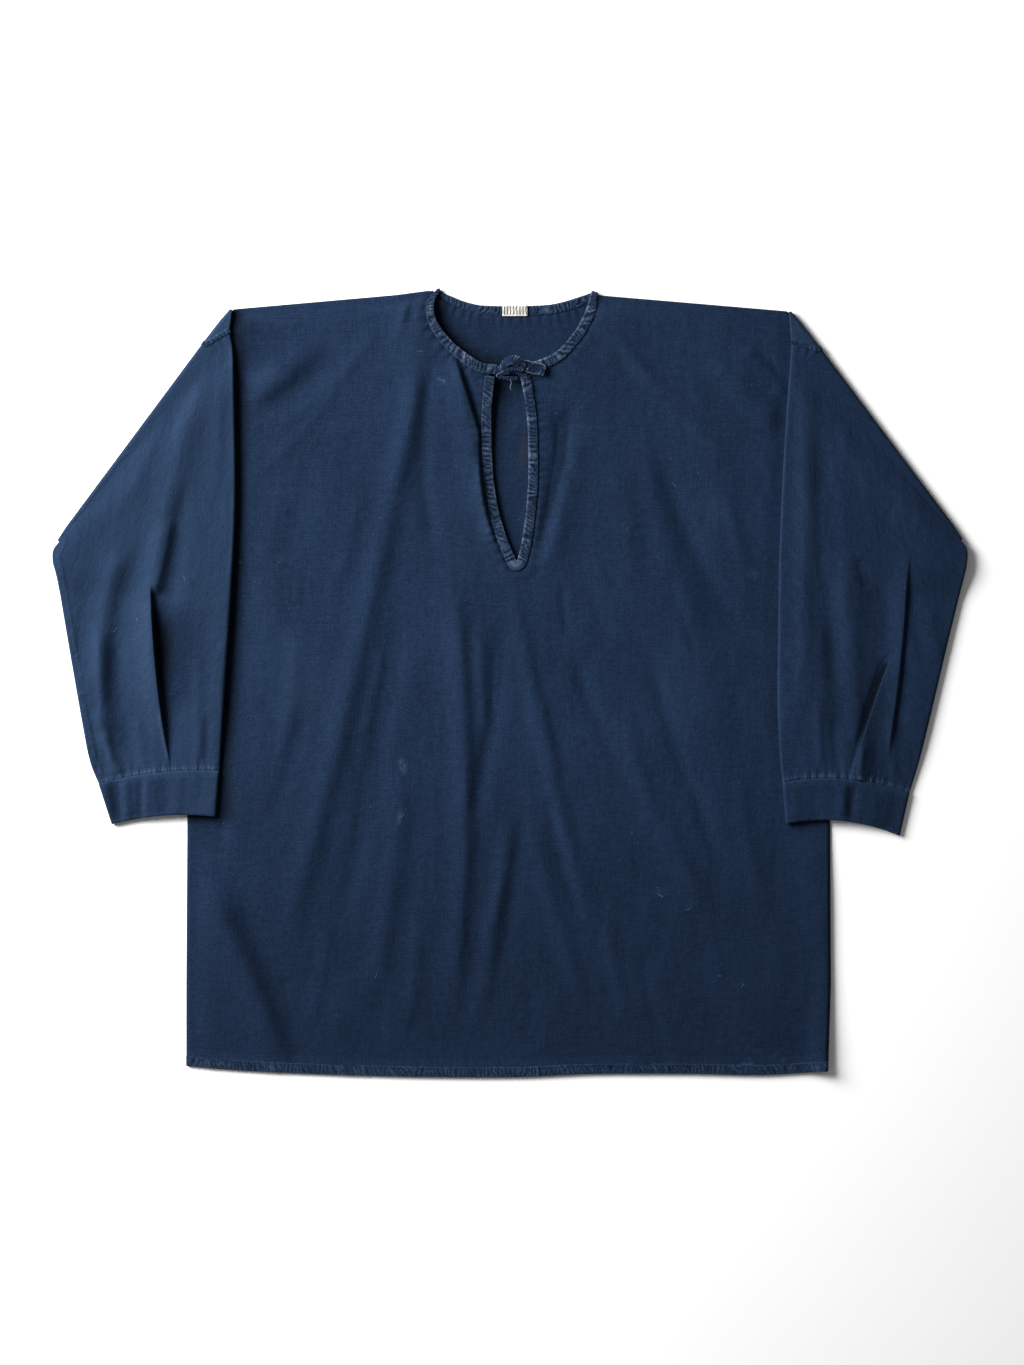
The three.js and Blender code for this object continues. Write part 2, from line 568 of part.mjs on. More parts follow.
// Stations that carry the neck's band over a shoulder tip, from the front down to the back
function overTip(tip) {
  const { across, forward } = tipFrame(tip);
  const [high, low] = [neckBand.leastLift + neckBand.thick / 2, neckBand.thick / 2];
  const radius = (high - low) / 2;
  return evenly(neckBand.turnSteps).map((share) => {
    const [out, up] = [Math.sin(share * Math.PI), Math.cos(share * Math.PI)];
    return {
      edge: point3(tip, low + radius * (1 + up)).addScaledVector(forward, radius * out),
      across,
      normal: forward.clone().multiplyScalar(out).setZ(up),
      width: neckBand.width,
      thick: neckBand.thick,
    };
  });
}

// The neck's band in three stretches and the slit's binding in three, each along its own curve
const bandHeight = (x, y) => Math.max(frontUnder(x, y), neckBand.leastLift) + neckBand.thick / 2;
const backHeight = () => neckBand.thick / 2;
const slitHeight = (x, y) => frontUnder(x, y) + slitBand.thick / 2;
const upToTip = evenly(neckBand.stations).slice(0, -1);
const downSlit = evenly(slitBand.stations).map((t) => t * 0.985);
const neckLeft = upToTip.map((t) => flatStation(necks.left, t, 1, neckBand, bandHeight));
const neckRight = upToTip.map((t) => flatStation(necks.right, t, -1, neckBand, bandHeight));
const neckBack = evenly(neckBand.backStations)
  .map((t) => flatStation(necks.back, t, -1, neckBand, backHeight))
  .map((station) => ({ ...station, normal: new THREE.Vector3(0, 0, -1) }));
const slitLeftSide = downSlit.map((t) => flatStation(slits.left, t, -1, slitBand, slitHeight));
const slitRightSide = downSlit.map((t) => flatStation(slits.right, t, 1, slitBand, slitHeight));
const slitFoot = footStations();

// The slit's binding turns round below the slit
function footStations() {
  const [left, right] = [slitLeftSide[slitLeftSide.length - 1], slitRightSide[slitRightSide.length - 1]];
  const edge = left.edge.clone().lerp(right.edge, 0.5);
  const lowest = { ...left, edge, across: new THREE.Vector3(0, -1, 0) };
  const turn = (before, after) => fanBetween(before, after, slitBand.tipSteps, slitHeight);
  return [...turn(left, lowest), lowest, ...turn(lowest, right)];
}

function neckBandSolid() {
  const [leftTurn, rightTurn] = [overTip(tipLeft), overTip(tipRight)];
  const [backStart, backEnd] = [neckBack[0], neckBack[neckBack.length - 1]];
  return loftSolid([
    ...neckLeft,
    ...leftTurn,
    ...fanBetween(leftTurn[leftTurn.length - 1], backStart, neckBand.fanSteps, backHeight),
    ...neckBack,
    ...fanBetween(rightTurn[rightTurn.length - 1], backEnd, neckBand.fanSteps, backHeight).reverse(),
    ...rightTurn.reverse(),
    ...[...neckRight].reverse(),
  ].map(stripRing));
}

const slitStations = [...slitLeftSide, ...slitFoot, ...[...slitRightSide].reverse()];
const slitBandSolid = () => loftSolid(slitStations.map(stripRing));

// The line beside a strip that the cloth is cut to
const besideStrip = (stations) => stations.map(({ edge, across, width }) => (
  edge.clone().addScaledVector(across, width + seamGap)));

// The line beside a shoulder tip, from the cloth up past the shoulder
function besideTip(tip, back) {
  const aboveNeck = 40;
  const { across, forward } = tipFrame(tip);
  const beside = point3(tip, 0).addScaledVector(across, neckBand.width + seamGap);
  const foot = beside.addScaledVector(forward, -back);
  return [foot, foot.clone().addScaledVector(forward, aboveNeck)];
}

// The front, with its neck and slit cut out of one sheet
function frontPanel() {
  const sheet = panelWall(frontGrid, frontUnder, hem.extra);
  const [slitTopLeft, slitTopRight] = [besideStrip(slitLeftSide)[0], besideStrip(slitRightSide)[0]];
  const leftNeck = besideStrip(neckLeft).filter((p) => p.x < slitTopLeft.x).reverse();
  const rightNeck = besideStrip(neckRight).filter((p) => p.x > slitTopRight.x);
  return cutPanel(sheet, [
    ...besideTip(tipLeft, 0).reverse(),
    ...leftNeck,
    ...besideStrip(slitStations),
    ...rightNeck,
    ...besideTip(tipRight, 0),
  ]);
}

// The back, which lies flat, with its neck cut out
function backPanel() {
  const sheet = panelWall(backGrid, () => 0, 0);
  const [leftLow, rightLow] = [tipLeft, tipRight].map((tip) => overTip(tip)[neckBand.turnSteps]);
  const turn = (before, after) => besideStrip(fanBetween(before, after, neckBand.fanSteps, backHeight));
  return cutPanel(sheet, [
    ...besideTip(tipLeft, seamGap).reverse(),
    ...turn(leftLow, neckBack[0]),
    ...besideStrip(neckBack),
    ...turn(neckBack[neckBack.length - 1], rightLow),
    ...besideTip(tipRight, seamGap),
  ]);
}

function labelSolid() {
  const across = new THREE.Vector3(0, -1, 0);
  const normal = new THREE.Vector3(0, 0, 1);
  const stations = evenly(label.stations).map((t) => {
    const x = mix(label.from, label.to, t);
    const edge = point3({ x, y: label.top }, neckBand.thick + seamGap + label.thick / 2);
    return { edge, across, normal, width: label.width, thick: label.thick };
  });
  return loftSolid(stations.map(stripRing));
}

// A tape along a line of points, each with its half width and thickness
function tapeSolid(stations) {
  return loftSolid(stations.map(({ x, y, z, halfWidth, thick }, i) => {
    const next = stations[Math.min(i + 1, stations.length - 1)];
    const last = stations[Math.max(i - 1, 0)];
    const run = new THREE.Vector3(next.x - last.x, next.y - last.y, 0).normalize();
    const across = new THREE.Vector3(-run.y, run.x, 0);
    const corner = (out, up) => new THREE.Vector3(x, y, z + up).addScaledVector(across, out);
    const half = thick / 2;
    return [
      corner(-halfWidth, 0), corner(-halfWidth * 0.8, half), corner(halfWidth * 0.8, half),
      corner(halfWidth, 0), corner(halfWidth * 0.8, -half), corner(-halfWidth * 0.8, -half),
    ];
  }));
}

// The tie's knot: a flattened ring of tape, tilted as it lies
function knotSolid() {
  const knot = { ring: 5.2, tape: 2.9, wide: 1.25, tall: 0.9, x: 4, y: 315, z: 14.4, tilt: -0.35 };
  const geometry = new THREE.TorusGeometry(knot.ring, knot.tape, 8, 18);
  geometry.scale(knot.wide, 1, knot.tall);
  geometry.rotateZ(knot.tilt);
  geometry.translate(knot.x, knot.y, knot.z);
  return geometry;
}

const tieTapes = {
  tie_left: [
    { x: -12.4, y: 311.6, z: 8.4, halfWidth: 4.6, thick: 1.6 },
    { x: -8, y: 312.2, z: 8.7, halfWidth: 4.2, thick: 1.6 },
    { x: -2, y: 313.2, z: 9.2, halfWidth: 3.4, thick: 1.6 },
    { x: 3.2, y: 314.2, z: 9.6, halfWidth: 2.8, thick: 1.6 },
  ],
  tie_right: [
    { x: 11.4, y: 310.6, z: 8.4, halfWidth: 4.4, thick: 1.6 },
    { x: 8, y: 311.2, z: 8.8, halfWidth: 3.8, thick: 1.6 },
    { x: 4.4, y: 312.6, z: 9.4, halfWidth: 2.8, thick: 1.6 },
  ],
  tie_end_right: [
    { x: 14.6, y: 315.4, z: 13.8, halfWidth: 3.0, thick: 2.4 },
    { x: 20, y: 314, z: 12.9, halfWidth: 3.8, thick: 2.4 },
    { x: 27, y: 312, z: 12.0, halfWidth: 4.4, thick: 2.4 },
    { x: 34.5, y: 310.2, z: 11.6, halfWidth: 4.8, thick: 2.2 },
  ],
  tie_end_left: [
    { x: -4.6, y: 307.2, z: 12.2, halfWidth: 3.4, thick: 2.0 },
    { x: -1, y: 305, z: 11.0, halfWidth: 3.0, thick: 2.0 },
    { x: 0.4, y: 300, z: 9.6, halfWidth: 1.6, thick: 1.6 },
    { x: 0.4, y: 292, z: 8.4, halfWidth: 1.0, thick: 1.2 },
  ],
};

const pieces = [
  { name: "back_panel", geometry: backPanel(), finish: darkIndigo },
  { name: "front_panel", geometry: frontPanel(), finish: indigo },
  { name: "sleeve_left", geometry: sleeveSolid(sleeveLeft), finish: indigo },
  { name: "sleeve_right", geometry: sleeveSolid(sleeveRight), finish: indigo },
  { name: "shoulder_corner_left", geometry: cornerSolid(sleeveLeft), finish: indigo },
  { name: "shoulder_corner_right", geometry: cornerSolid(sleeveRight), finish: indigo },
  { name: "cuff_left", geometry: cuffSolid(sleeveLeft), finish: indigo },
  { name: "cuff_right", geometry: cuffSolid(sleeveRight), finish: indigo },
  { name: "neck_band", geometry: neckBandSolid(), finish: indigo },
  { name: "slit_binding", geometry: slitBandSolid(), finish: indigo },
  { name: "tie_knot", geometry: knotSolid(), finish: indigo },
  { name: "neck_label", geometry: labelSolid(), finish: creamTape },
  ...Object.entries(tieTapes).map(([name, stations]) => (
    { name, geometry: tapeSolid(stations), finish: indigo })),
];

const smock = new THREE.Group();
for (const { name, geometry, finish } of pieces) {
  const mesh = new THREE.Mesh(geometry, new THREE.MeshStandardMaterial(finish));
  mesh.name = name;
  smock.add(mesh);
}

// The origin is at the middle of the smock's outline, on the table
const bounds = new THREE.Box3().setFromObject(smock);
const middle = bounds.getCenter(new THREE.Vector3());
smock.position.set(-middle.x, -middle.y, -bounds.min.z);

export default smock;
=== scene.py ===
import math

import bpy
import numpy as np
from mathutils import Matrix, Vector
from mathutils.bvhtree import BVHTree


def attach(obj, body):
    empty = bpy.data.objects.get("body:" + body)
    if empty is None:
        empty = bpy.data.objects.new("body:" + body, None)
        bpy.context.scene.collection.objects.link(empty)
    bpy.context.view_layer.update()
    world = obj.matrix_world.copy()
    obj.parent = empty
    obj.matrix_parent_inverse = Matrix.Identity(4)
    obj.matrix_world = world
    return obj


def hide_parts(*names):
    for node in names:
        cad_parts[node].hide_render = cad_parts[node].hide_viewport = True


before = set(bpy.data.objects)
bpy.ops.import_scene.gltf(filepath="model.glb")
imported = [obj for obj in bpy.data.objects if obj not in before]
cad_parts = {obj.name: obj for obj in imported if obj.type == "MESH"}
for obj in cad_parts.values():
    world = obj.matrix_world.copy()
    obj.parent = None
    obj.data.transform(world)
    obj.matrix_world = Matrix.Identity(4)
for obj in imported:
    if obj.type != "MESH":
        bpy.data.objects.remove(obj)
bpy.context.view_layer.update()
mm = 0.001

# All tables below are in millimetres as the smock lies: X across, Y from hem to neck, Z up from the floor.
place = {"shiftX": 0.013, "shiftY": -0.069}  # the middle of the outline is the frame's origin
cloth = {"wall": 1.2, "gap": 0.3, "cuffWall": 2.0, "air": 2.2}

# Outline of the body, shared by front and back
outline = {
    "shoulderLine": [(-276.5, 373), (-115, 387.2), (-83, 391.4), (92, 386.8), (277, 371)],
    "sideLeft": [(373, -276.5), (336, -301.5), (148, -318.5), (-134, -322.5), (-301, -323.5), (-383, -323.5)],
    "sideRight": [(371, 277), (333, 305), (145, 317.5), (-147, 320), (-301, 320.8), (-388, 318)],
    "hem": [(-323.5, -383), (-259, -388), (-167, -391.8), (-75, -394), (10, -394), (81, -391), (173, -390.7),
            (253, -392), (318, -388)],
    "hemDepth": 10,
    "hemThick": 1.5,
    "frontHemLift": 0.6,
}

# Edges of the neck opening and of the slit
opening = {
    "frontNeckLeft": [(-13, 317), (-31, 320.5), (-56, 339), (-73, 361), (-75.6, 379), (-69.4, 391.8)],
    "frontNeckRight": [(12, 316), (43, 328), (62, 347), (74, 368), (81, 389.5)],
    "backNeck": [(-67, 389.5), (-57, 385.5), (-44, 380.5), (-26, 377), (6, 376.5), (36, 377.5), (52, 380.3),
                 (66, 384.5), (75, 387.5)],
    "slitLeft": [(-15, 305), (-18, 276), (-18.3, 250), (-16.5, 206), (-11, 172), (-3, 145), (7, 121)],
    "slitRight": [(10.5, 304.5), (15.5, 276), (17.8, 250), (18.2, 204), (15.5, 168), (11.5, 140), (7, 121)],
    "bandWidth": 10,
    "bandThick": 2.2,
    "slitThick": 2.0,
    "footX": 7.0,
    "leastLift": 3.4,
    "tuckedUnder": 5.0,  # how far the panel runs on inside its binding
    "tipLean": 20,
}

# Folds: from, to, bow, width to the left and right of the line, height. A negative height is a valley.
# The last two columns are the shares of the length over which a fold rises and dies out; most rows leave them out.
foldColumns = ("fromX", "fromY", "toX", "toY", "bow", "left", "right", "height", "rise", "fall")
frontPanel = {
    "columns": 234,
    "rows": 196,
    "closeColumns": (0.39, 0.58, 3.0),  # shares across where the columns lie closer, and how much closer
    "closeRows": (0.0, 0.38, 1.6),
    "hills": [(1.3, 46, 170, 0.004, 5), (0.45, 19, 60, 0, 6), (0.14, 9, 22, 0, 7)],
    "bandRipple": (0.9, 7, 31, 6, 0.4),
    "hemRipple": (0.8, 10, 41, 9, 0.4),
    # Shares of wear; the entries for beside the band, the lower body and beside the sleeve are painted shade and
    # painted shadow, not wear
    "wear": {"perHeight": 0.07, "hem": 0.28, "bandSeamShade": 0.5, "lower": 0.2, "sleeveShadow": 0.7, "most": 0.9},
    "rightRoll": 2.6,  # the right-hand edge stands up a little, and its lower corner more
    "cornerLift": 3.6,
    "folds": [
        (-86, 342, -234, -298, 7, 13, 11, 3.6), (-90, 318, -116, 182, 0, 9, 9, 1.8),
        (-59, 122, -59, -348, 14, 13, 9, 3.6), (2, 106, 85, -262, -6, 9, 9, 2.6),
        (19, -127, 80, -338, -3, 9, 9, 2.0), (0, -122, -36, -348, 5, 10, 10, 1.9),
        (101, -8, 210, -252, -6, 11, 12, 2.8), (-310, -178, -222, -392, 5, 20, 14, 4.8, 0.25, 0.12),
        (-108, -72, -146, -338, 9, 12, 10, 2.4), (-60, 322, -27, 150, 4, 14, 8, 4.4),
        (66, 262, 34, 106, 5, 9, 13, 2.6), (134, 240, 192, 40, -6, 12, 12, 2.4),
        (-186, 342, -264, 276, 3, 11, 9, 3.0), (196, 322, 268, 250, 4, 10, 12, 2.8),
        (-76, 332, -74, 122, -11, 8, 8, -2.0), (-106, 102, -171, -252, 5, 10, 10, -2.4),
        (-8, 70, -40, -148, 6, 9, 9, -2.0), (13, -100, -16, -302, 5, 8, 8, -1.0),
        (37, -108, 75, -244, -3, 7, 7, -1.8), (62, 30, 110, -84, -3, 8, 8, -1.8),
        (149, 238, 250, 20, -12, 9, 10, -2.2), (137, 38, 218, -204, -5, 9, 10, -2.2),
        (60, 290, 24, 112, 4, 7, 8, -2.4), (-290, -206, -210, -392, 6, 10, 18, -2.4, 0.25, 0.12),
        (240, 332, 266, 286, 2, 8, 8, -2.0),
    ],
    # Painted shade in the deepest creases and beside raised edges, as shares from 0 to -1; the two small positive rows
    # make the cloth a little lighter along two folds
    "paintedShading": [
        (245, 330, 277, 284, 4, 3.5, 3.5, -0.5, 0.15, 0.1), (-262, 366, -268, 300, 2, 8, 16, -0.34, 0.1, 0.5),
        (-200, 348, -236, 312, 2, 7, 9, -0.16), (-296, -206, -218, -386, 6, 6, 16, -0.2, 0.25, 0.12),
        (-226, -308, -178, -292, 1, 5, 4, -0.1), (58, 280, 30, 150, 4, 7, 9, -0.2),
        (-55, 326, -24, 230, 1, 0.8, 3, -0.4, 0.1, 0.1), (-88, -120, -112, -330, 4, 9, 9, 0.06),
        (-52, -60, -50, -300, 6, 7, 5, 0.08), (8, -130, -22, -300, 3, 5, 9, -0.1),
    ],
    # Pale rubbed scuffs: from, to, bow, reach on each side, share
    "scuffs": [
        (-112, -74, -106, -92, 2, 2.5, 2.5, 0.5), (-108, -126, -109, -142, -2, 2.5, 2.5, 0.45),
        (-108, -150, -110, -190, 2, 3, 3, 0.14), (-74, 304, -64, 299, 1, 1.2, 1.2, 0.4),
        (146, -206, 156, -217, 2, 3, 3, 0.3), (170, -222, 184, -229, 3, 4, 4, 0.32),
        (228, -300, 240, -306, 2, 2.5, 2.5, 0.35), (-134, -284, -129, -300, 3, 3, 3, 0.2),
        (-92, -286, -90, -304, 1, 4, 4, 0.12), (236, 110, 246, 101, 3, 3, 4, 0.28),
        (-190, 262, -172, 256, 1, 3, 3, 0.1), (120, 258, 122, 228, 1, 2, 2, 0.08),
        (216, -369, 258, -373, 2, 1.2, 1.2, 0.5), (226, -381, 252, -382, -1, 1.5, 1.5, 0.5),
        (240, -367, 284, -384, 4, 1, 1, 0.4),
    ],
    # Narrower creases that lie on the folds
    "creases": [
        (-96, 378, -102, 356, 0, 4, 3, -1.6), (-104, 384, -116, 340, 2, 5, 4, 1.2),
        (-55, 328, -24, 228, 1, 12, 1.5, 3.0, 0.14, 0.16), (-55, 328, -24, 228, 1, 0.9, 6, -2.2, 0.14, 0.16),
        (-29, 244, -14, 134, -3, 9, 1.6, 2.4, 0.25, 0.2),
        (244, 330, 277, 284, 4, 4, 4, -2.8, 0.15, 0.1), (232, 334, 262, 296, 2, 6, 5, 1.8),
        (-176, 320, -262, 262, 3, 9, 12, -1.1), (-196, 342, -268, 292, 2, 9, 8, 1.4),
        (96, 352, 196, 262, -6, 7, 6, 1.0), (110, 330, 232, 216, -8, 6, 7, 0.9),
        (-128, 360, -236, 250, 6, 7, 6, 1.0), (-150, 330, -262, 200, 8, 7, 7, 0.9),
        (-235, -302, -180, -288, 1, 5, 4, -1.0), (46, 272, 66, 196, -3, 5, 6, -1.2),
        (-126, 40, -150, -60, 3, 6, 5, 1.0), (-214, 60, -232, -80, 4, 8, 7, 1.1),
        (-205, -20, -246, -150, 5, 7, 8, -1.0), (-30, 60, -22, -60, -3, 6, 6, 1.1),
        (128, -60, 168, -160, -4, 6, 6, -1.1), (172, -96, 206, -190, -3, 6, 6, 1.0),
        (228, -80, 262, -250, -6, 8, 7, 1.1), (250, -40, 286, -200, -6, 7, 8, -0.9),
        (96, -230, 122, -350, -3, 7, 6, 1.2), (132, -262, 150, -362, -2, 6, 6, -1.1),
        (-92, -230, -104, -352, 3, 6, 7, 1.1), (-180, -230, -206, -352, 4, 7, 6, 1.2),
        (30, -10, 52, -96, -3, 6, 5, 1.1), (-8, -190, -26, -262, 2, 5, 6, 1.0),
        (86, 130, 116, 30, -4, 7, 7, 1.0), (160, 120, 190, 20, -4, 6, 7, -0.9),
        (216, 190, 244, 90, -4, 7, 7, 1.0), (-150, 200, -178, 90, 4, 8, 7, 0.9),
        (-200, 236, -226, 120, 4, 7, 8, -0.9), (52, 102, 60, 40, -2, 5, 5, -1.0),
    ],
}

backPanel = {
    "columns": 131, "rows": 90,
    "seenX": 4, "seenReach": 60,  # the part that shows through the neck and the slit
    "ridge": (0.35, 5, 22),  # height, reach and middle
    # Painted shadow on the back where the knot, the left neck band and the left slit binding shade it: middles, shares
    # and reaches
    "knotX": -8, "knotY": 292, "knotReach": 13,
    "darker": {"knot": 0.7, "neck": 0.75, "slit": 0.45, "slitTop": 0.35},
    "neckReach": 12, "slitReach": 8,
}
sleeveLeft = {
    "side": -1,
    "seam": ((-301.9, 335.5), (-318.8, 149)),
    "fold": ((-304.2, 336.7), (-450, 140.5)),
    "corner": ((-277.2, 371.8), (-279.4, 352.4), (-303.5, 337.7)),
    "inner": [(-280.3, 351.4), (-276.6, 330), (-275, 283), (-273.8, 182), (-278, 90), (-282.6, 22), (-286.5, -35),
              (-290, -88.5)],
    "outer": [(-450, 140.5), (-456, 132), (-456.3, 120), (-452, 102), (-441.5, 40), (-427.5, -40), (-420, -78),
              (-411, -101.5)],
    "bow": 5,
    "cuffTop": ((-290, -88.8), (-411, -101.8)),
    "cuffEnd": ((-293.5, -133.8), (-398, -141.7)),
    "airInner": 3.4,
    "innerLift": 2.4,
    "closeColumns": (0.34, 0.50, 3.0),
    "folds": [
        (-357, 98, -337, -98, -3.4, 17, 1.2, 6.6, 0.16, 0.5), (-338, 168, -358, 78, 2, 13, 5, 2.8),
        (-357, 98, -337, -90, -3.4, 0.8, 15, -3.4, 0.07, 0.35), (-300, 330, -366, 60, -4, 13, 12, 3.0),
        (-322, 205, -340, 60, -3, 9, 10, -2.0), (-362, 150, -396, -62, -12, 10, 12, -2.6),
        (-384, 146, -412, -30, -9, 10, 10, 2.6), (-410, -48, -392, -98, 2, 6, 6, 2.6),
    ],
    "creases": [
        (-305, 332, -330, 282, 3, 6, 6, -1.6), (-290, 300, -296, 180, 2, 7, 6, 1.0),
        (-394, 60, -388, -80, -3, 9, 12, -1.6), (-407, -66, -409, -90, 0, 5, 4, -1.4),
        (-413, 66, -407, -60, 2, 5, 16, 2.2), (-416, -24, -396, -84, 2, 4, 5, 1.3),
        (-312, 40, -310, -86, 0, 6, 6, 1.0), (-446, 66, -405, -96, 1, 1.6, 1.6, -0.7),
        (-300, -30, -304, -88, 0, 5, 5, -1.0), (-372, -30, -366, -92, 0, 5, 6, 1.2),
        (-352, 250, -400, 160, 6, 8, 8, 0.9), (-330, 280, -372, 200, 5, 7, 7, -0.8),
        (-425, 110, -432, 20, 3, 7, 6, -1.0), (-440, 60, -430, -30, -2, 6, 6, 0.8),
    ],
    # Painted shade in the shadow beside the pleat and along a fold near the outer edge, as shares below 0; the positive
    # row is a painted highlight on the lit side of the pleat
    "paintedShading": [
        (-357, 94, -337.5, -88, -3.4, 0.7, 3.0, -0.5, 0.05, 0.3),
        (-357, 94, -337, -98, -3.4, 0.9, 12, -0.2, 0.2, 0.75), (-355, 86, -342, -34, -2.4, 1.4, 27, -0.5, 0.3, 0.6),
        (-347, 78, -339, -36, -2.4, 8, 12, -0.4, 0.3, 0.6),
        (-350, -20, -338, -84, -2, 3, 0.8, 0.25), (-399, 44, -390, -74, -3, 6, 9, -0.25),
    ],
    # Painted shade in the cuff's folds
    "cuffPaintedShade": [(-399, -96, -395, -142, 0, 5, 5, -0.5), (-380, -94, -379, -140, 0, 3, 3, -0.2),
                   (-370, -92, -370, -138, 0, 2, 2, -0.35), (-350, -90, -351, -136, 0, 8, 8, -0.12)],
    "cuffFolds": [
        (-395, -96, -390, -142, 0, 5, 4, -1.5), (-384, -94, -380, -140, 0, 4, 5, 1.0),
        (-370, -92, -370, -138, 0, 3, 3, -1.5), (-362, -90, -363, -136, 0, 4, 4, 1.2),
        (-330, -88, -332, -134, 0, 6, 6, 0.8), (-308, -88, -312, -134, 0, 5, 5, -0.5),
    ],
    "edgeWorn": 0.3,
    "seed": 11,
}
sleeveRight = {
    "side": 1,
    "seam": ((305.4, 332.5), (317.8, 146.5)),
    "fold": ((308, 331), (450, 141.5)),
    "corner": ((278.3, 369.6), (280.6, 341), (307.3, 332)),
    "inner": [(281.3, 340), (280.2, 326), (276.9, 283), (272.8, 217), (268.9, 130), (267.7, 57), (267, -15),
              (268.9, -64), (272, -100)],
    "outer": [(450, 141.5), (456, 134), (456.3, 121), (452.5, 102), (437.5, 40), (418.5, -40), (409, -78),
              (399, -111)],
    "bow": 9,
    "cuffTop": ((272, -100.3), (399, -111.3)),
    "cuffEnd": ((275, -141), (389.5, -153.3)),
    "airInner": 1.8,
    "innerLift": 0.0,
    "closeColumns": (0.48, 0.80, 2.4),
    "folds": [
        (380, 30, 339, -99, -2.5, 0.9, 14, 2.6, 0.2, 0.1), (398, 140, 375, -90, 4, 15, 1.6, 2.7, 0.25, 0.25),
        (398, 130, 376, -84, 4, 0.9, 10, -1.2, 0.2, 0.25), (322, 70, 332, -66, -2, 9, 9, -1.6),
        (304, 262, 322, -30, 6, 10, 10, -1.8), (330, 140, 346, -70, -2, 12, 12, 2.2),
        (292, 330, 288, -40, 4, 9, 11, 2.2),
    ],
    "creases": [
        (380, 30, 339, -99, -2.5, 5.5, 0.8, -2.2, 0.12, 0.6),
        (347, 125, 357, 92, 1, 5, 5, -1.3),
        (283, 356, 283, 342, 0, 3, 3, 1.2), (330, 262, 366, 180, -4, 8, 7, 0.9),
        (306, -10, 310, -92, 0, 5, 5, 1.1), (322, -30, 328, -98, 0, 5, 5, -1.2),
        (352, -60, 348, -104, 0, 4, 4, 1.4), (366, -52, 362, -106, 0, 4, 4, -0.4),
        (380, -30, 382, -104, 0, 5, 5, 1.1), (402, 100, 416, 10, -3, 7, 7, -1.0),
        (420, 80, 430, 20, -2, 6, 6, 0.9), (312, 200, 318, 90, 2, 7, 7, 0.9),
    ],
    # Painted shade in the dark undercut beside the pleat and along two folds, as shares below 0
    "paintedShading": [
        (380, 28, 339, -99, -2.5, 4.2, 0.5, -1.5, 0.14, 0.66), (398, 116, 377, -72, 4, 0.6, 3.0, -0.22, 0.15, 0.25),
        (322, 60, 332, -60, -2, 8, 8, -0.15),
    ],
    # Painted shade in the cuff's folds
    "cuffPaintedShade": [(341, -98, 340, -142, 0, 6, 5, -0.42), (288, -98, 289, -142, 0, 9, 8, -0.2),
                   (385, -106, 380, -152, 0, 5, 6, -0.3)],
    "cuffFolds": [
        (342, -100, 340, -140, 0, 4, 3, -2.0), (332, -98, 331, -138, 0, 5, 4, 1.2),
        (286, -100, 287, -140, 0, 5, 5, 0.8), (365, -104, 362, -146, 0, 5, 5, 0.6),
        (384, -106, 378, -150, 0, 4, 4, -0.6), (296, -98, 298, -140, 0, 6, 6, 0.4),
    ],
    "edgeWorn": 0.14,
    "seed": 23,
}
sleeveShape = {
    "foldRadius": 2.4, "overBody": 3.7, "drapeStart": 24, "drapeEnd": 62,
    "airMid": 4.2, "airEdge": 3.0, "airCuff": 1.6,
    "foldEndBulge": 0.62, "foldEndTaper": 18,
    "stations": 176, "acrossTop": 124, "acrossBottom": 24, "turnSteps": 12, "seamRungs": 8,
    "hills": [(0.9, 34, 120, 0, 0), (0.3, 15, 44, 0, 1), (0.1, 8, 18, 0, 2)],
    "gathers": (1.3, 8, 3, 8, 0.5), "ticks": (0.7, 3.6, 7, 3, 0.5),
    "wear": {"ticks": 0.8, "felled": 0.4, "besideFelled": 0.1, "perHeight": 0.02, "most": 0.7},
}
cuffShape = {"stations": 16, "acrossTop": 46, "acrossBottom": 20, "deep": 45, "air": (1.2, 0.8),
             "hills": [(0.5, 22, 26, 0, 8), (0.2, 8, 9, 0, 9)],
             "topGroove": (0.7, 0.9, 2.2), "endGroove": (0.6, 0.9, 2.4),  # depth, reach, distance from the edge
             "wear": {"top": 0.2, "end": 0.4, "stitches": 0.2}}

tapeShape = {"around": 18, "sideRound": 0.55, "topRound": 0.8, "spacing": 3.0, "lean": 2.4, "groove": 0.22,
             "grooveAt": 0.66, "grooveReach": 0.12}
labelTape = {"fromX": -7.5, "toX": 17.5, "top": 377.2, "halfWidth": 5.5, "thick": 0.8, "high": 3.75}
# Strips of folded cloth: height and spacing of the puckers, seed, and how worn they are
stripKinds = {
    "neck": {"tall": 1.9, "spacing": 4.7, "seed": 61, "worn": 0.95},
    "slit": {"tall": 1.6, "spacing": 4.8, "seed": 71, "worn": 0.85},
    "frontHem": {"tall": 0.5, "spacing": 4.2, "slant": 0.3, "seed": 81, "worn": 0.3},
    "backHem": {"tall": 0.5, "spacing": 4.2, "slant": 0.3, "seed": 91, "worn": 0.3},
    "leftArmhole": {"tall": 0.9, "spacing": 4.2, "slant": 0.1, "seed": 131, "worn": 0.9},
    "rightArmhole": {"tall": 0.9, "spacing": 4.2, "slant": 0.1, "seed": 141, "worn": 0.9},
}
armhole = {"width": 5.4, "thick": 1.0, "aside": 2.2, "above": 0.1, "turn": 2.25}
stitchKinds = {
    "binding": {"pitch": 2.8, "length": 1.9, "thick": 0.36},
    "hem": {"pitch": 3.2, "length": 2.1, "thick": 0.42},
    "cuff": {"pitch": 2.6, "length": 1.7, "thick": 0.34},
    "seam": {"pitch": 3.0, "length": 2.0, "thick": 0.36},
    "label": {"pitch": 3.1, "length": 8.4, "thick": 0.5},
}
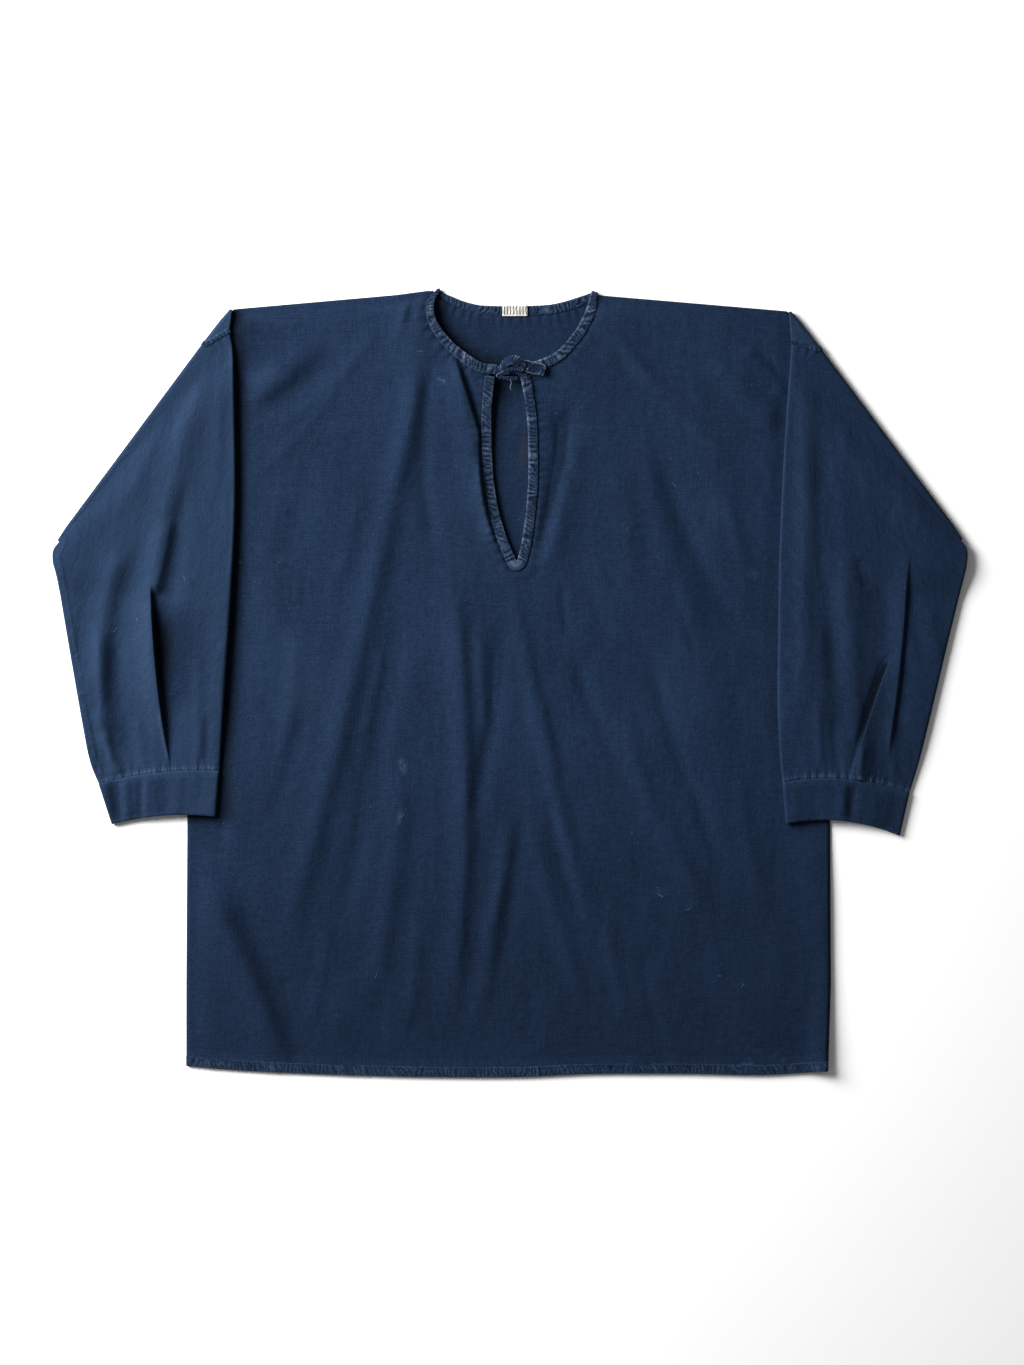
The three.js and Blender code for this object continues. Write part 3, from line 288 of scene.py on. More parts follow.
look = {
    "deep": (0.0056, 0.0130, 0.0305),
    "mid": (0.0090, 0.0208, 0.0495),
    "faded": (0.048, 0.090, 0.160),
    "thread": (0.016, 0.030, 0.062),
    "trimFaded": (0.125, 0.168, 0.238),
    "cream": (0.66, 0.63, 0.585),
    "creamWorn": (0.8, 0.76, 0.7),
    "stain": (0.030, 0.024, 0.020),
    "fray": (0.070, 0.088, 0.115),
    "lint": (0.085, 0.110, 0.150),
    "labelThread": (0.035, 0.035, 0.045),
    "backDarker": 0.88,
    "creamDarker": 0.85,
}
floorLook = {"size": 8, "low": -0.0003, "darker": 0.88, "lighter": 0.90}
camera = {"sensor": 36, "middleX": 2.0, "middleY": 0.0, "height": 3200.0, "seenHigh": 1365.0}
light = {"keyX": -1.95, "keyY": 1.1, "keyZ": 1.3, "size": 1.5, "watts": 212.0, "fill": 0.2, "backdrop": 0.9}


# Small tools for plan curves and soft shapes

def smooth(low, high, value):
    t = np.clip((np.asarray(value, float) - low) / (high - low), 0, 1)
    return t * t * (3 - 2 * t)


def mix(a, b, t):
    return a + (b - a) * t


def near(value, reach, middle=0.0):
    # 1 at the middle, dying out on either side within about twice the reach
    return np.exp(-(((value - middle) / reach) ** 2))


def curveThrough(points, count):
    # Catmull-Rom through the points, read at even lengths
    p = np.array(points, float)
    p = np.vstack([2 * p[0] - p[1], p, 2 * p[-1] - p[-2]])
    fine = []
    for i in range(1, len(p) - 2):
        t = np.linspace(0, 1, 60, endpoint=(i == len(p) - 3))[:, None]
        a, b, c, d = p[i - 1], p[i], p[i + 1], p[i + 2]
        square, cube = 2 * a - 5 * b + 4 * c - d, 3 * b - a - 3 * c + d
        fine.append(0.5 * (2 * b + (c - a) * t + square * t**2 + cube * t**3))
    fine = np.vstack(fine)
    length = np.concatenate([[0], np.cumsum(np.linalg.norm(np.diff(fine, axis=0), axis=1))])
    at = np.linspace(0, length[-1], count)
    return np.stack([np.interp(at, length, fine[:, k]) for k in range(fine.shape[1])], axis=1)


def runLength(path):
    return np.concatenate([[0], np.cumsum(np.linalg.norm(np.diff(path, axis=0), axis=1))])


def directions(path):
    run = np.gradient(path, axis=0)
    return run / np.linalg.norm(run, axis=1)[:, None]


def edgeAt(table, y):
    rows = np.array(table[::-1], float)
    return np.interp(y, rows[:, 0], rows[:, 1])


def innerEdgeAt(sleeve, y):
    return edgeAt([(p[1], p[0]) for p in sleeve["inner"]], y)


def bowedLine(start, end, bow, count):
    # A straight line that swells to one side by the bow
    t = np.linspace(0, 1, count)[:, None]
    line = mix(np.array(start, float), np.array(end, float), t)
    return line + np.hstack([0 * t, bow * 4 * t * (1 - t)])


def shoulderHeight(x):
    rows = np.array(outline["shoulderLine"], float)
    return np.interp(x, rows[:, 0], rows[:, 1])


def softNoise(x, y, seed):
    # Smooth uneven hills of about one unit, the same on every run
    table = np.random.RandomState(seed).uniform(-1, 1, (128, 128))
    x, y = np.asarray(x, float), np.asarray(y, float)
    xi, yi = np.floor(x).astype(int), np.floor(y).astype(int)
    u, v = x - xi, y - yi
    u, v = u * u * (3 - 2 * u), v * v * (3 - 2 * v)
    at = lambda i, j: table[(xi + i) % 128, (yi + j) % 128]
    return mix(mix(at(0, 0), at(1, 0), u), mix(at(0, 1), at(1, 1), u), v)


def hillsAt(rows, x, y, seed=0):
    # rows: height, spacing across and down, lean, seed
    return sum(tall * softNoise(x / across + lean * y, y / down, seed + extra)
               for tall, across, down, lean, extra in rows)


def unevenWave(s, spacing, seed):
    # Crests from 0 to 1 at an uneven spacing along a seam
    shifted = s / spacing + 0.75 * softNoise(s / spacing * 0.55, 0 * s + 3.3, seed)
    tall = 0.65 + 0.35 * softNoise(s / spacing * 0.8, 0 * s + 8.1, seed + 1)
    return tall * (0.5 + 0.5 * np.cos(2 * math.pi * shifted))


def puckers(s, spacing, seed):
    # Rounded lumps from 0 to 1 with narrow creases between them
    wave = unevenWave(s, spacing, seed)
    return np.clip(wave, 0, 1) ** 0.5


def gathersAt(row, along, away, seed=0):
    # row: height, spacing, seed, reach from the seam, and the level that stays where it is
    tall, spacing, extra, reach, level = row
    return tall * (puckers(along, spacing, seed + extra) - level) * np.exp(-away / reach)


def spacedShares(count, closeFrom, closeTo, closer):
    t = np.linspace(0, 1, 2000)
    weight = 1 + (closer - 1) * smooth(closeFrom - 0.05, closeFrom, t) * smooth(closeTo + 0.05, closeTo, t)
    total = np.concatenate([[0], np.cumsum((weight[1:] + weight[:-1]) / 2)])
    return np.interp(np.linspace(0, total[-1], count), total, t)


def foldsAt(table, x, y):
    total = np.zeros_like(np.asarray(x, float))
    for row in table:
        fold = dict(zip(foldColumns, row))
        dx, dy = fold["toX"] - fold["fromX"], fold["toY"] - fold["fromY"]
        length = math.hypot(dx, dy)
        along = ((x - fold["fromX"]) * dx + (y - fold["fromY"]) * dy) / length**2
        inside = np.clip(along, 0, 1)
        bowed = fold["bow"] * 4 * inside * (1 - inside)
        aside = ((x - fold["fromX"]) * -dy + (y - fold["fromY"]) * dx) / length - bowed
        width = np.where(aside > 0, fold["right"], fold["left"])
        taper = smooth(0, fold.get("rise", 0.22), inside) * smooth(0, fold.get("fall", 0.22), 1 - inside)
        total = total + fold["height"] * taper * near(aside, width)
    return total


def nearestOn(path, x, y):
    # Distance from plan points to a path and how far along it they are
    along = runLength(path)
    flat = np.stack([np.ravel(x), np.ravel(y)], axis=1)
    distance = np.full(len(flat), 1e9)
    where = np.zeros(len(flat))
    for i in range(len(path) - 1):
        a, b = path[i, :2], path[i + 1, :2]
        t = np.clip(((flat - a) @ (b - a)) / max(1e-9, (b - a) @ (b - a)), 0, 1)
        d = np.linalg.norm(flat - (a + t[:, None] * (b - a)), axis=1)
        closer = d < distance
        distance[closer] = d[closer]
        where[closer] = (along[i] + t * (along[i + 1] - along[i]))[closer]
    return distance.reshape(np.shape(x)), where.reshape(np.shape(x))


def insidePolygon(polygon, x, y):
    inside = np.zeros(np.shape(x), bool)
    for (ax, ay), (bx, by) in zip(polygon, np.roll(polygon, -1, axis=0)):
        crosses = (ay > y) != (by > y)
        inside ^= crosses & (x < (bx - ax) * (y - ay) / (by - ay + 1e-12) + ax)
    return inside


# Mesh making

def gridFaces(rows, columns, around=False):
    r, c = np.meshgrid(np.arange(rows - 1), np.arange(columns if around else columns - 1), indexing="ij")
    d = (c + 1) % columns
    corners = [r * columns + c, r * columns + d, (r + 1) * columns + d, (r + 1) * columns + c]
    return np.stack(corners, -1).reshape(-1, 4)


def cappedTube(rings, size):
    caps = [list(range(size))[::-1], [(rings - 1) * size + i for i in range(size)]]
    return list(gridFaces(rings, size, around=True)) + caps


def makePiece(name, points, faces, weave, seam=None, wear=None, material=None):
    # weave and seam are UV maps in metres; the wear value runs from -1 to 1 at each point: above 0 it is wear, below 0
    # painted shade
    points = np.array(points, float).reshape(-1, 3) + (place["shiftX"], place["shiftY"], 0)
    mesh = bpy.data.meshes.new(name)
    mesh.from_pydata((points * mm).tolist(), [], [list(map(int, f)) for f in faces])
    loops = np.zeros(len(mesh.loops), int)
    mesh.loops.foreach_get("vertex_index", loops)
    for mapName, values in (("weave", weave), ("seam", seam)):
        values = np.full((len(points), 2), 1.0) if values is None else np.array(values, float).reshape(-1, 2) * mm
        layer = mesh.uv_layers.new(name=mapName)
        layer.data.foreach_set("uv", values[loops].ravel())
    worn = mesh.attributes.new("wear", "FLOAT", "POINT")
    worn.data.foreach_set("value", np.zeros(len(points)) if wear is None else np.ravel(wear))
    mesh.polygons.foreach_set("use_smooth", [True] * len(mesh.polygons))
    mesh.materials.append(material)
    piece = bpy.data.objects.new(name, mesh)
    bpy.context.scene.collection.objects.link(piece)
    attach(piece, "root")
    return piece


def pickOnly(piece):
    bpy.ops.object.select_all(action="DESELECT")
    bpy.context.view_layer.objects.active = piece
    piece.select_set(True)


def applyModifier(piece, kind, **settings):
    pickOnly(piece)
    modifier = piece.modifiers.new(kind.title(), kind)
    for key, value in settings.items():
        setattr(modifier, key, value)
    bpy.ops.object.modifier_apply(modifier=modifier.name)
    piece.select_set(False)


def turnOutwards(piece):
    pickOnly(piece)
    bpy.ops.object.mode_set(mode="EDIT")
    bpy.ops.mesh.select_all(action="SELECT")
    bpy.ops.mesh.normals_make_consistent(inside=False)
    bpy.ops.object.mode_set(mode="OBJECT")
    piece.select_set(False)


# Where the layers lie, as in the solids

def underSleeve(x, y):
    rim = 16
    left = innerEdgeAt(sleeveLeft, y) - x + rim
    right = x - innerEdgeAt(sleeveRight, y) + rim
    return smooth(0, rim, np.where(np.asarray(x) < 0, left, right)) * smooth(-185, -150, y)


def insideSides(x, y):
    return np.minimum(x - edgeAt(outline["sideLeft"], y), edgeAt(outline["sideRight"], y) - x)


def frontUnder(x, y):
    edge = smooth(0, 26, insideSides(x, y))
    shoulder = smooth(0, 22, shoulderHeight(x) - y)
    nearHem = 1 - 0.8 * smooth(320, 392, -np.asarray(y))
    neckDistance = np.abs(np.hypot((x - 3) / 78, (y - 388) / 74) - 1) * 76
    rise = 4.2 * near(neckDistance, 55)
    free = np.maximum(0, cloth["air"] + rise + foldsAt(frontPanel["folds"], x, y))
    pressed = 1 - 0.93 * underSleeve(x, y)
    return cloth["wall"] + cloth["gap"] + free * edge * shoulder * nearHem * pressed


def sideRoll(x, y):
    # How much the right-hand edge and its lower corner stand up
    inside = insideSides(x, y)
    corner = near(np.hypot(np.asarray(x) - 318, np.asarray(y) + 388), 62)
    roll = frontPanel["rightRoll"] * smooth(-110, -230, y) + frontPanel["cornerLift"] * corner
    fading = smooth(-0.5, 2.4, inside) * near(np.maximum(0, inside - 4), 13)
    return np.where(np.asarray(x) > 0, roll * fading, 0)


def sleeveFloor(sleeve, x, y):
    side = sleeve["side"]
    beyond = (x - edgeAt(outline["sideLeft"] if side < 0 else outline["sideRight"], y)) * side
    armpit, elbow = sleeve["seam"][1], sleeve["fold"][1]
    share = np.minimum(1, np.abs((x - armpit[0]) / (elbow[0] - armpit[0])))
    below = mix(armpit[1], elbow[1], share) - y
    start, end = sleeveShape["drapeStart"], sleeveShape["drapeEnd"]
    return sleeveShape["overBody"] * np.maximum(1 - smooth(start, end, beyond), 1 - smooth(start, end, below))


# Shader groups, each built once

def newGroup(name, inputs, outputs):
    group = bpy.data.node_groups.new(name, "ShaderNodeTree")
    for direction, sockets in (("INPUT", inputs), ("OUTPUT", outputs)):
        for label, kind, value in sockets:
            socket = group.interface.new_socket(name=label, in_out=direction, socket_type=kind)
            if value is not None:
                socket.default_value = value
    start, end = group.nodes.new("NodeGroupInput"), group.nodes.new("NodeGroupOutput")
    start.location, end.location = (-1400, 0), (900, 0)
    return group, start, end


def nodeMaker(tree):
    def make(kind, settings=None, **inputs):
        node = tree.nodes.new("ShaderNode" + kind)
        for key, value in (settings or {}).items():
            setattr(node, key, value)
        for key, value in inputs.items():
            socket = node.inputs[int(key[1:])] if key[0] == "i" and key[1:].isdigit() else node.inputs[key]
            if hasattr(value, "is_output"):
                tree.links.new(value, socket)
            else:
                socket.default_value = value
        return node
    return make


def sumMakers(make):
    # calc joins two values, ranged carries a value from one range to another
    def calc(operation, a, b, clamp=False):
        return make("Math", {"operation": operation, "use_clamp": clamp}, i0=a, i1=b).outputs[0]

    def ranged(value, fromMin=0.0, fromMax=1.0, toMin=0.0, toMax=1.0):
        limits = {"From Min": fromMin, "From Max": fromMax, "To Min": toMin, "To Max": toMax}
        return make("MapRange", Value=value, **limits).outputs[0]
    return calc, ranged


def newMaterial(name, specular):
    material = bpy.data.materials.new(name)
    material.use_nodes = True
    shader = material.node_tree.nodes["Principled BSDF"]
    shader.inputs["Specular IOR Level"].default_value = specular
    return material, material.node_tree, nodeMaker(material.node_tree), shader


def buildWashedCloth():
    vector, number, color = "NodeSocketVector", "NodeSocketFloat", "NodeSocketColor"
    group, start, end = newGroup("washedCloth", [
        ("Weave", vector, None), ("Seam", vector, None), ("WearAndShade", number, 0.0),
        ("Deep", color, (0.01, 0.02, 0.05, 1)), ("Mid", color, (0.02, 0.04, 0.09, 1)),
        ("Faded", color, (0.06, 0.1, 0.2, 1)), ("Fade", number, 0.0),
    ], [("Color", color, None), ("Roughness", number, None), ("Height", number, None)])
    make = nodeMaker(group)
    calc, ranged = sumMakers(make)
    out = start.outputs
    weave = out["Weave"]

    def noise(vector, scale, detail, roughness, distortion=0.0):
        return make("TexNoise", Vector=vector, Scale=scale, Detail=detail, Roughness=roughness,
                    Distortion=distortion).outputs["Fac"]

    def stretched(vector, *scale):
        return make("Mapping", Vector=vector, Scale=scale).outputs[0]

    # Yarns of a plain weave, 0.7 mm apart, and slubs along warp and weft
    warp, weft = [make("TexWave", {"bands_direction": along}, Vector=weave, Scale=420.0, Distortion=1.2, Detail=1.0)
                  for along in "XY"]
    yarns = calc("MAXIMUM", warp.outputs["Fac"], weft.outputs["Fac"])
    warpSlub = noise(stretched(weave, 820.0, 38.0, 1.0), 1.0, 3.0, 0.6)
    weftSlub = noise(stretched(weave, 34.0, 700.0, 1.0), 1.0, 2.0, 0.6)
    mottle = noise(weave, 9.0, 5.0, 0.55)
    crumple = noise(weave, 62.0, 4.0, 0.55, 0.6)
    drapes = noise(stretched(weave, 70.0, 20.0, 1.0), 1.0, 3.0, 0.5, 0.4)
    # Puckers run square to a seam and die out a little way from it
    seam = make("SeparateXYZ", Vector=out["Seam"])
    lumps = make("TexWave", {"bands_direction": "X"}, Vector=stretched(out["Seam"], 1.0, 0.25, 1.0), Scale=33.0,
                 Distortion=4.0, Detail=1.0, **{"Detail Scale": 1.2})
    pucker = calc("MULTIPLY", lumps.outputs["Fac"], ranged(seam.outputs["Y"], 0.0, 0.012, 1.0, 0.0))
    # Colour: deep to mid by slubs and mottling, faded where it is worn
    slubs = calc("ADD", warpSlub, weftSlub)
    grain = ranged(noise(weave, 620.0, 2.0, 0.7), 0.25, 0.75, -0.8, 0.8)
    clouds = ranged(noise(weave, 170.0, 3.0, 0.6), 0.25, 0.75, -0.3, 0.3)
    plain = calc("ADD", mottle, calc("ADD", clouds, grain))
    tone = calc("ADD", plain, calc("SUBTRACT", slubs, 1.0))
    ground = make("Mix", {"data_type": "RGBA"}, i0=ranged(tone, 0.15, 0.85), i6=out["Deep"], i7=out["Mid"])
    worn = calc("MULTIPLY", calc("MULTIPLY", out["WearAndShade"], noise(weave, 210.0, 3.0, 0.65)), 1.5)
    fadeAll = calc("ADD", worn, out["Fade"], True)
    # Small pale specks of lint, one in a few cells
    cells = make("TexVoronoi", Vector=weave, Scale=95.0)
    pick = make("SeparateColor", Color=cells.outputs["Color"])
    specks = calc("MULTIPLY", ranged(cells.outputs["Distance"], 0.03, 0.055, 0.8, 0.0),
                  ranged(pick.outputs[0], 0.38, 0.72))
    fadeSpecks = calc("ADD", fadeAll, specks, True)
    wornColour = make("Mix", {"data_type": "RGBA"}, i0=fadeSpecks, i6=ground.outputs[2], i7=out["Faded"])
    # Below zero, the value is painted shade: it darkens the colour in creases, under raised edges and where other parts
    # shade the cloth
    paintedShade = ranged(out["WearAndShade"], -1.0, 0.0, 0.1, 1.0)
    final = make("Mix", {"data_type": "RGBA", "blend_type": "MULTIPLY"}, i0=1.0, i6=wornColour.outputs[2], i7=paintedShade)
    # Height in millimetres
    height = calc("MULTIPLY", yarns, 0.07)
    for value, tall in ((slubs, 0.12), (crumple, 0.8), (drapes, 0.7), (pucker, 0.9)):
        height = calc("ADD", height, calc("MULTIPLY", value, tall))
    group.links.new(final.outputs[2], end.inputs["Color"])
    group.links.new(ranged(tone, toMin=0.95, toMax=0.82), end.inputs["Roughness"])
    group.links.new(height, end.inputs["Height"])
    return group


def clothMaterial(name, deep=look["deep"], mid=look["mid"], faded=look["faded"], paleness=0.0, bump=1.0, stain=None):
    material, tree, make, shader = newMaterial(name, 0.05)
    ranged = sumMakers(make)[1]
    weave = make("UVMap", {"uv_map": "weave"})
    seam = make("UVMap", {"uv_map": "seam"})
    wear = make("Attribute", {"attribute_name": "wear"})
    group = tree.nodes.new("ShaderNodeGroup")
    group.node_tree = washedCloth
    tree.links.new(weave.outputs[0], group.inputs["Weave"])
    tree.links.new(seam.outputs[0], group.inputs["Seam"])
    tree.links.new(wear.outputs["Fac"], group.inputs["WearAndShade"])
    for label, value in (("Deep", deep), ("Mid", mid), ("Faded", faded)):
        group.inputs[label].default_value = (*value, 1)
    group.inputs["Fade"].default_value = paleness
    bumps = make("Bump", Height=group.outputs["Height"], Strength=bump, Distance=mm)
    colour = group.outputs["Color"]
    if stain:
        # A faint mark, longer than it is wide
        middle = make("VectorMath", {"operation": "SUBTRACT"}, i0=weave.outputs[0], i1=stain["middle"])
        shape = make("VectorMath", {"operation": "MULTIPLY"}, i0=middle.outputs[0], i1=stain["perSize"])
        away = make("VectorMath", {"operation": "LENGTH"}, i0=shape.outputs[0])
        amount = ranged(away.outputs["Value"], 0.2, 1.0, 0.32, 0.0)
        marked = make("Mix", {"data_type": "RGBA"}, i0=amount, i6=colour, i7=(*look["stain"], 1))
        colour = marked.outputs[2]
    tree.links.new(colour, shader.inputs["Base Color"])
    tree.links.new(group.outputs["Roughness"], shader.inputs["Roughness"])
    tree.links.new(bumps.outputs[0], shader.inputs["Normal"])
    shader.inputs["Sheen Weight"].default_value = 0.01
    shader.inputs["Sheen Roughness"].default_value = 0.5
    return material


def threadMaterial(name, color):
    material, tree, make, shader = newMaterial(name, 0.1)
    twist = make("TexNoise", Vector=make("TexCoord").outputs["Object"], Scale=900.0, Detail=2.0)
    lighter = tuple(min(1.0, c * 1.9 + 0.01) for c in color)
    tint = make("Mix", {"data_type": "RGBA"}, i0=twist.outputs["Fac"], i6=(*color, 1), i7=(*lighter, 1))
    tree.links.new(tint.outputs[2], shader.inputs["Base Color"])
    shader.inputs["Roughness"].default_value = 0.85
    return material


def darker(name, share):
    return tuple(c * share for c in look[name])


washedCloth = buildWashedCloth()
indigoBody = clothMaterial("indigoBody")
backStain = {"middle": (0.014, 0.231, 0), "perSize": (160.0, 44.0, 0)}
indigoBack = clothMaterial("indigoBack", darker("deep", look["backDarker"]), darker("mid", look["backDarker"]),
                           stain=backStain)
# The left sleeve is made paler all over: partly more faded cloth, partly painted light for the lamp that stands nearer
# that side
indigoLeft = clothMaterial("indigoSleeveLeft", paleness=0.07)
indigoRight = clothMaterial("indigoSleeveRight")
indigoTrim = clothMaterial("indigoTrim", faded=look["trimFaded"], paleness=0.02, bump=0.8)
creamTape = clothMaterial("creamTape", darker("cream", look["creamDarker"]), look["cream"], look["creamWorn"], bump=0.3)
indigoThread, frayThread, paleThread, darkThread = [threadMaterial(name, look[color]) for name, color in (
    ("indigoThread", "thread"), ("frayThread", "fray"), ("paleThread", "lint"), ("darkThread", "labelThread"))]
print("materials made")


# Panels

def panelGrid(share, downs, topAt):
    hemPath = curveThrough(outline["hem"], 400)
    foot = np.stack([np.interp(share, np.linspace(0, 1, 400), hemPath[:, k]) for k in (0, 1)], 1)
    top = topAt(share)
    down = downs[:, None]
    x = top[None, :, 0] + (foot[None, :, 0] - top[None, :, 0]) * down
    y = top[None, :, 1] + (foot[None, :, 1] - top[None, :, 1]) * down
    lean = share * 2 - 1
    sides = ((lean < 0, "sideLeft", top[0], foot[0]), (lean >= 0, "sideRight", top[-1], foot[-1]))
    for side, table, corner, end in sides:
        straight = corner[0] + (end[0] - corner[0]) * (y - corner[1]) / (end[1] - corner[1])
        pull = (edgeAt(outline[table], y) - straight) * np.abs(lean)[None, :] ** 3
        x = np.where(side[None, :], x + pull, x)
    return x, y


def offsetPath(path, distance, side):
    run = directions(path)
    return path + distance * side * np.stack([-run[:, 1], run[:, 0]], 1)


neckLeft = curveThrough(opening["frontNeckLeft"], 180)
neckRight = curveThrough(opening["frontNeckRight"], 180)
neckBack = curveThrough(opening["backNeck"], 240)
slitLeft = curveThrough(opening["slitLeft"], 280)
slitRight = curveThrough(opening["slitRight"], 280)
edgePath = np.vstack([neckLeft[::-3], slitLeft[::3], slitRight[::-3], neckRight[::3]])


def openingOutline(distance):
    slitL = offsetPath(slitLeft[::2], distance, -1)[:-2]
    slitR = offsetPath(slitRight[::2], distance, 1)[:-2]
    left = offsetPath(neckLeft, distance, 1)[::-1]
    right = offsetPath(neckRight, distance, -1)
    left = left[left[:, 0] < slitL[0, 0]]
    right = right[right[:, 0] > slitR[0, 0]]
    foot = np.array([[opening["footX"], opening["slitLeft"][-1][1] - distance]])
    above = 60
    return np.vstack([[left[0] + (0, above)], left, slitL, foot, slitR[::-1], right, [right[-1] + (0, above)]])


def makeFront():
    rows = frontPanel["rows"]
    line = np.array(outline["shoulderLine"], float)

    def topAt(share):
        x = mix(line[0, 0], line[-1, 0], share)
        return np.stack([x, shoulderHeight(x)], 1)

    besideEdge = np.array([0.0014, 0.0036, 0.0075])
    columnShares = spacedShares(frontPanel["columns"], *frontPanel["closeColumns"])
    shares = np.sort(np.concatenate([columnShares, besideEdge, 1 - besideEdge]))
    columns = len(shares)
    x, y = panelGrid(shares, spacedShares(rows, *frontPanel["closeRows"]), topAt)
    fromEdge, along = nearestOn(edgePath, x, y)
    away = np.maximum(0, fromEdge - opening["bandWidth"])
    hemPath = curveThrough(outline["hem"], 200)
    hemY = np.interp(x, hemPath[:, 0], hemPath[:, 1])
    aboveHem = y - hemY - outline["hemDepth"]
    calm = smooth(0, 22, insideSides(x, y)) * (1 - 0.8 * underSleeve(x, y)) * smooth(0, 16, shoulderHeight(x) - y)
    detail = foldsAt(frontPanel["creases"], x, y) + hillsAt(frontPanel["hills"], x, y)
    ripple = gathersAt(frontPanel["bandRipple"], along, away)
    hemRipple = gathersAt(frontPanel["hemRipple"], x + 0.35 * y, np.abs(aboveHem)) * smooth(-3, 6, aboveHem)
    base = frontUnder(x, y) + cloth["wall"]
    edgeDown = 1.25 * (1 - smooth(0, 3.0, insideSides(x, y)))
    z = base + np.maximum(detail * calm, 0.25 - (base - 2.7)) * calm + (ripple + hemRipple) * calm - edgeDown
    z = z + sideRoll(x, y)
    # Beside the bindings the cloth comes down to them
    leastHigh = np.where(edgePath[:, 1] > opening["slitLeft"][0][1] + 1, opening["leastLift"], 0)
    edgeHigh = np.maximum(frontUnder(edgePath[:, 0], edgePath[:, 1]), leastHigh)
    level = np.interp(along, runLength(edgePath), edgeHigh) + 0.5
    z = mix(level, z, smooth(opening["bandWidth"] - 0.8, opening["bandWidth"] + 4.0, fromEdge))
    high = detail * calm + ripple
    strong = frontPanel["wear"]
    wear = np.clip(strong["perHeight"] * high - 0.04, 0, 0.4)
    wear = wear + strong["hem"] * np.exp(-np.abs(aboveHem) / 4) * unevenWave(x, 7, 42)
    # Painted shade along the seam where the band meets the cloth, and painted shade darkening the body towards the hem,
    # where less light falls
    bandSeamShade = near(fromEdge - opening["bandWidth"], 0.9, 0.5)
    wear = wear - strong["bandSeamShade"] * bandSeamShade - strong["lower"] * smooth(-40, -300, y)
    rub = np.clip(0.75 + 0.6 * softNoise(x / 1.6, y / 1.3, 58), 0.1, 1.4)
    # Painted shade along creases from the table above, and pale rubbed scuffs
    wear = wear + foldsAt(frontPanel["paintedShading"], x, y) + rub * foldsAt(frontPanel["scuffs"], x, y)
    # Painted shadow of the left sleeve's raised inner edge on the body beside it
    sleeveShadow = x - innerEdgeAt(sleeveLeft, y)
    wear = wear - strong["sleeveShadow"] * smooth(20, 6, sleeveShadow) * smooth(-150, -128, y)
    faces = gridFaces(rows, columns)[:, ::-1]
    centreX, centreY = x.ravel()[faces].mean(1), y.ravel()[faces].mean(1)
    keep = ~insidePolygon(openingOutline(opening["tuckedUnder"]), centreX, centreY)
    faces = faces[keep]
    used = np.unique(faces)
    renumber = np.full(x.size, -1)
    renumber[used] = np.arange(len(used))
    points = np.stack([x, y, z], -1).reshape(-1, 3)[used]
    weave = np.stack([x, y], -1).reshape(-1, 2)[used]
    seam = np.stack([along, np.minimum(away, aboveHem.clip(0) * 1.6)], -1).reshape(-1, 2)[used]
    # Wear and painted shade together, clipped
    worn = np.clip(wear, -strong["most"], strong["most"]).ravel()[used]
    piece = makePiece("front_cloth", points, renumber[faces], weave, seam, worn, indigoBody)
    applyModifier(piece, "SOLIDIFY", thickness=cloth["wall"] * mm, offset=-1.0)
    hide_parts("front_panel")
    return piece


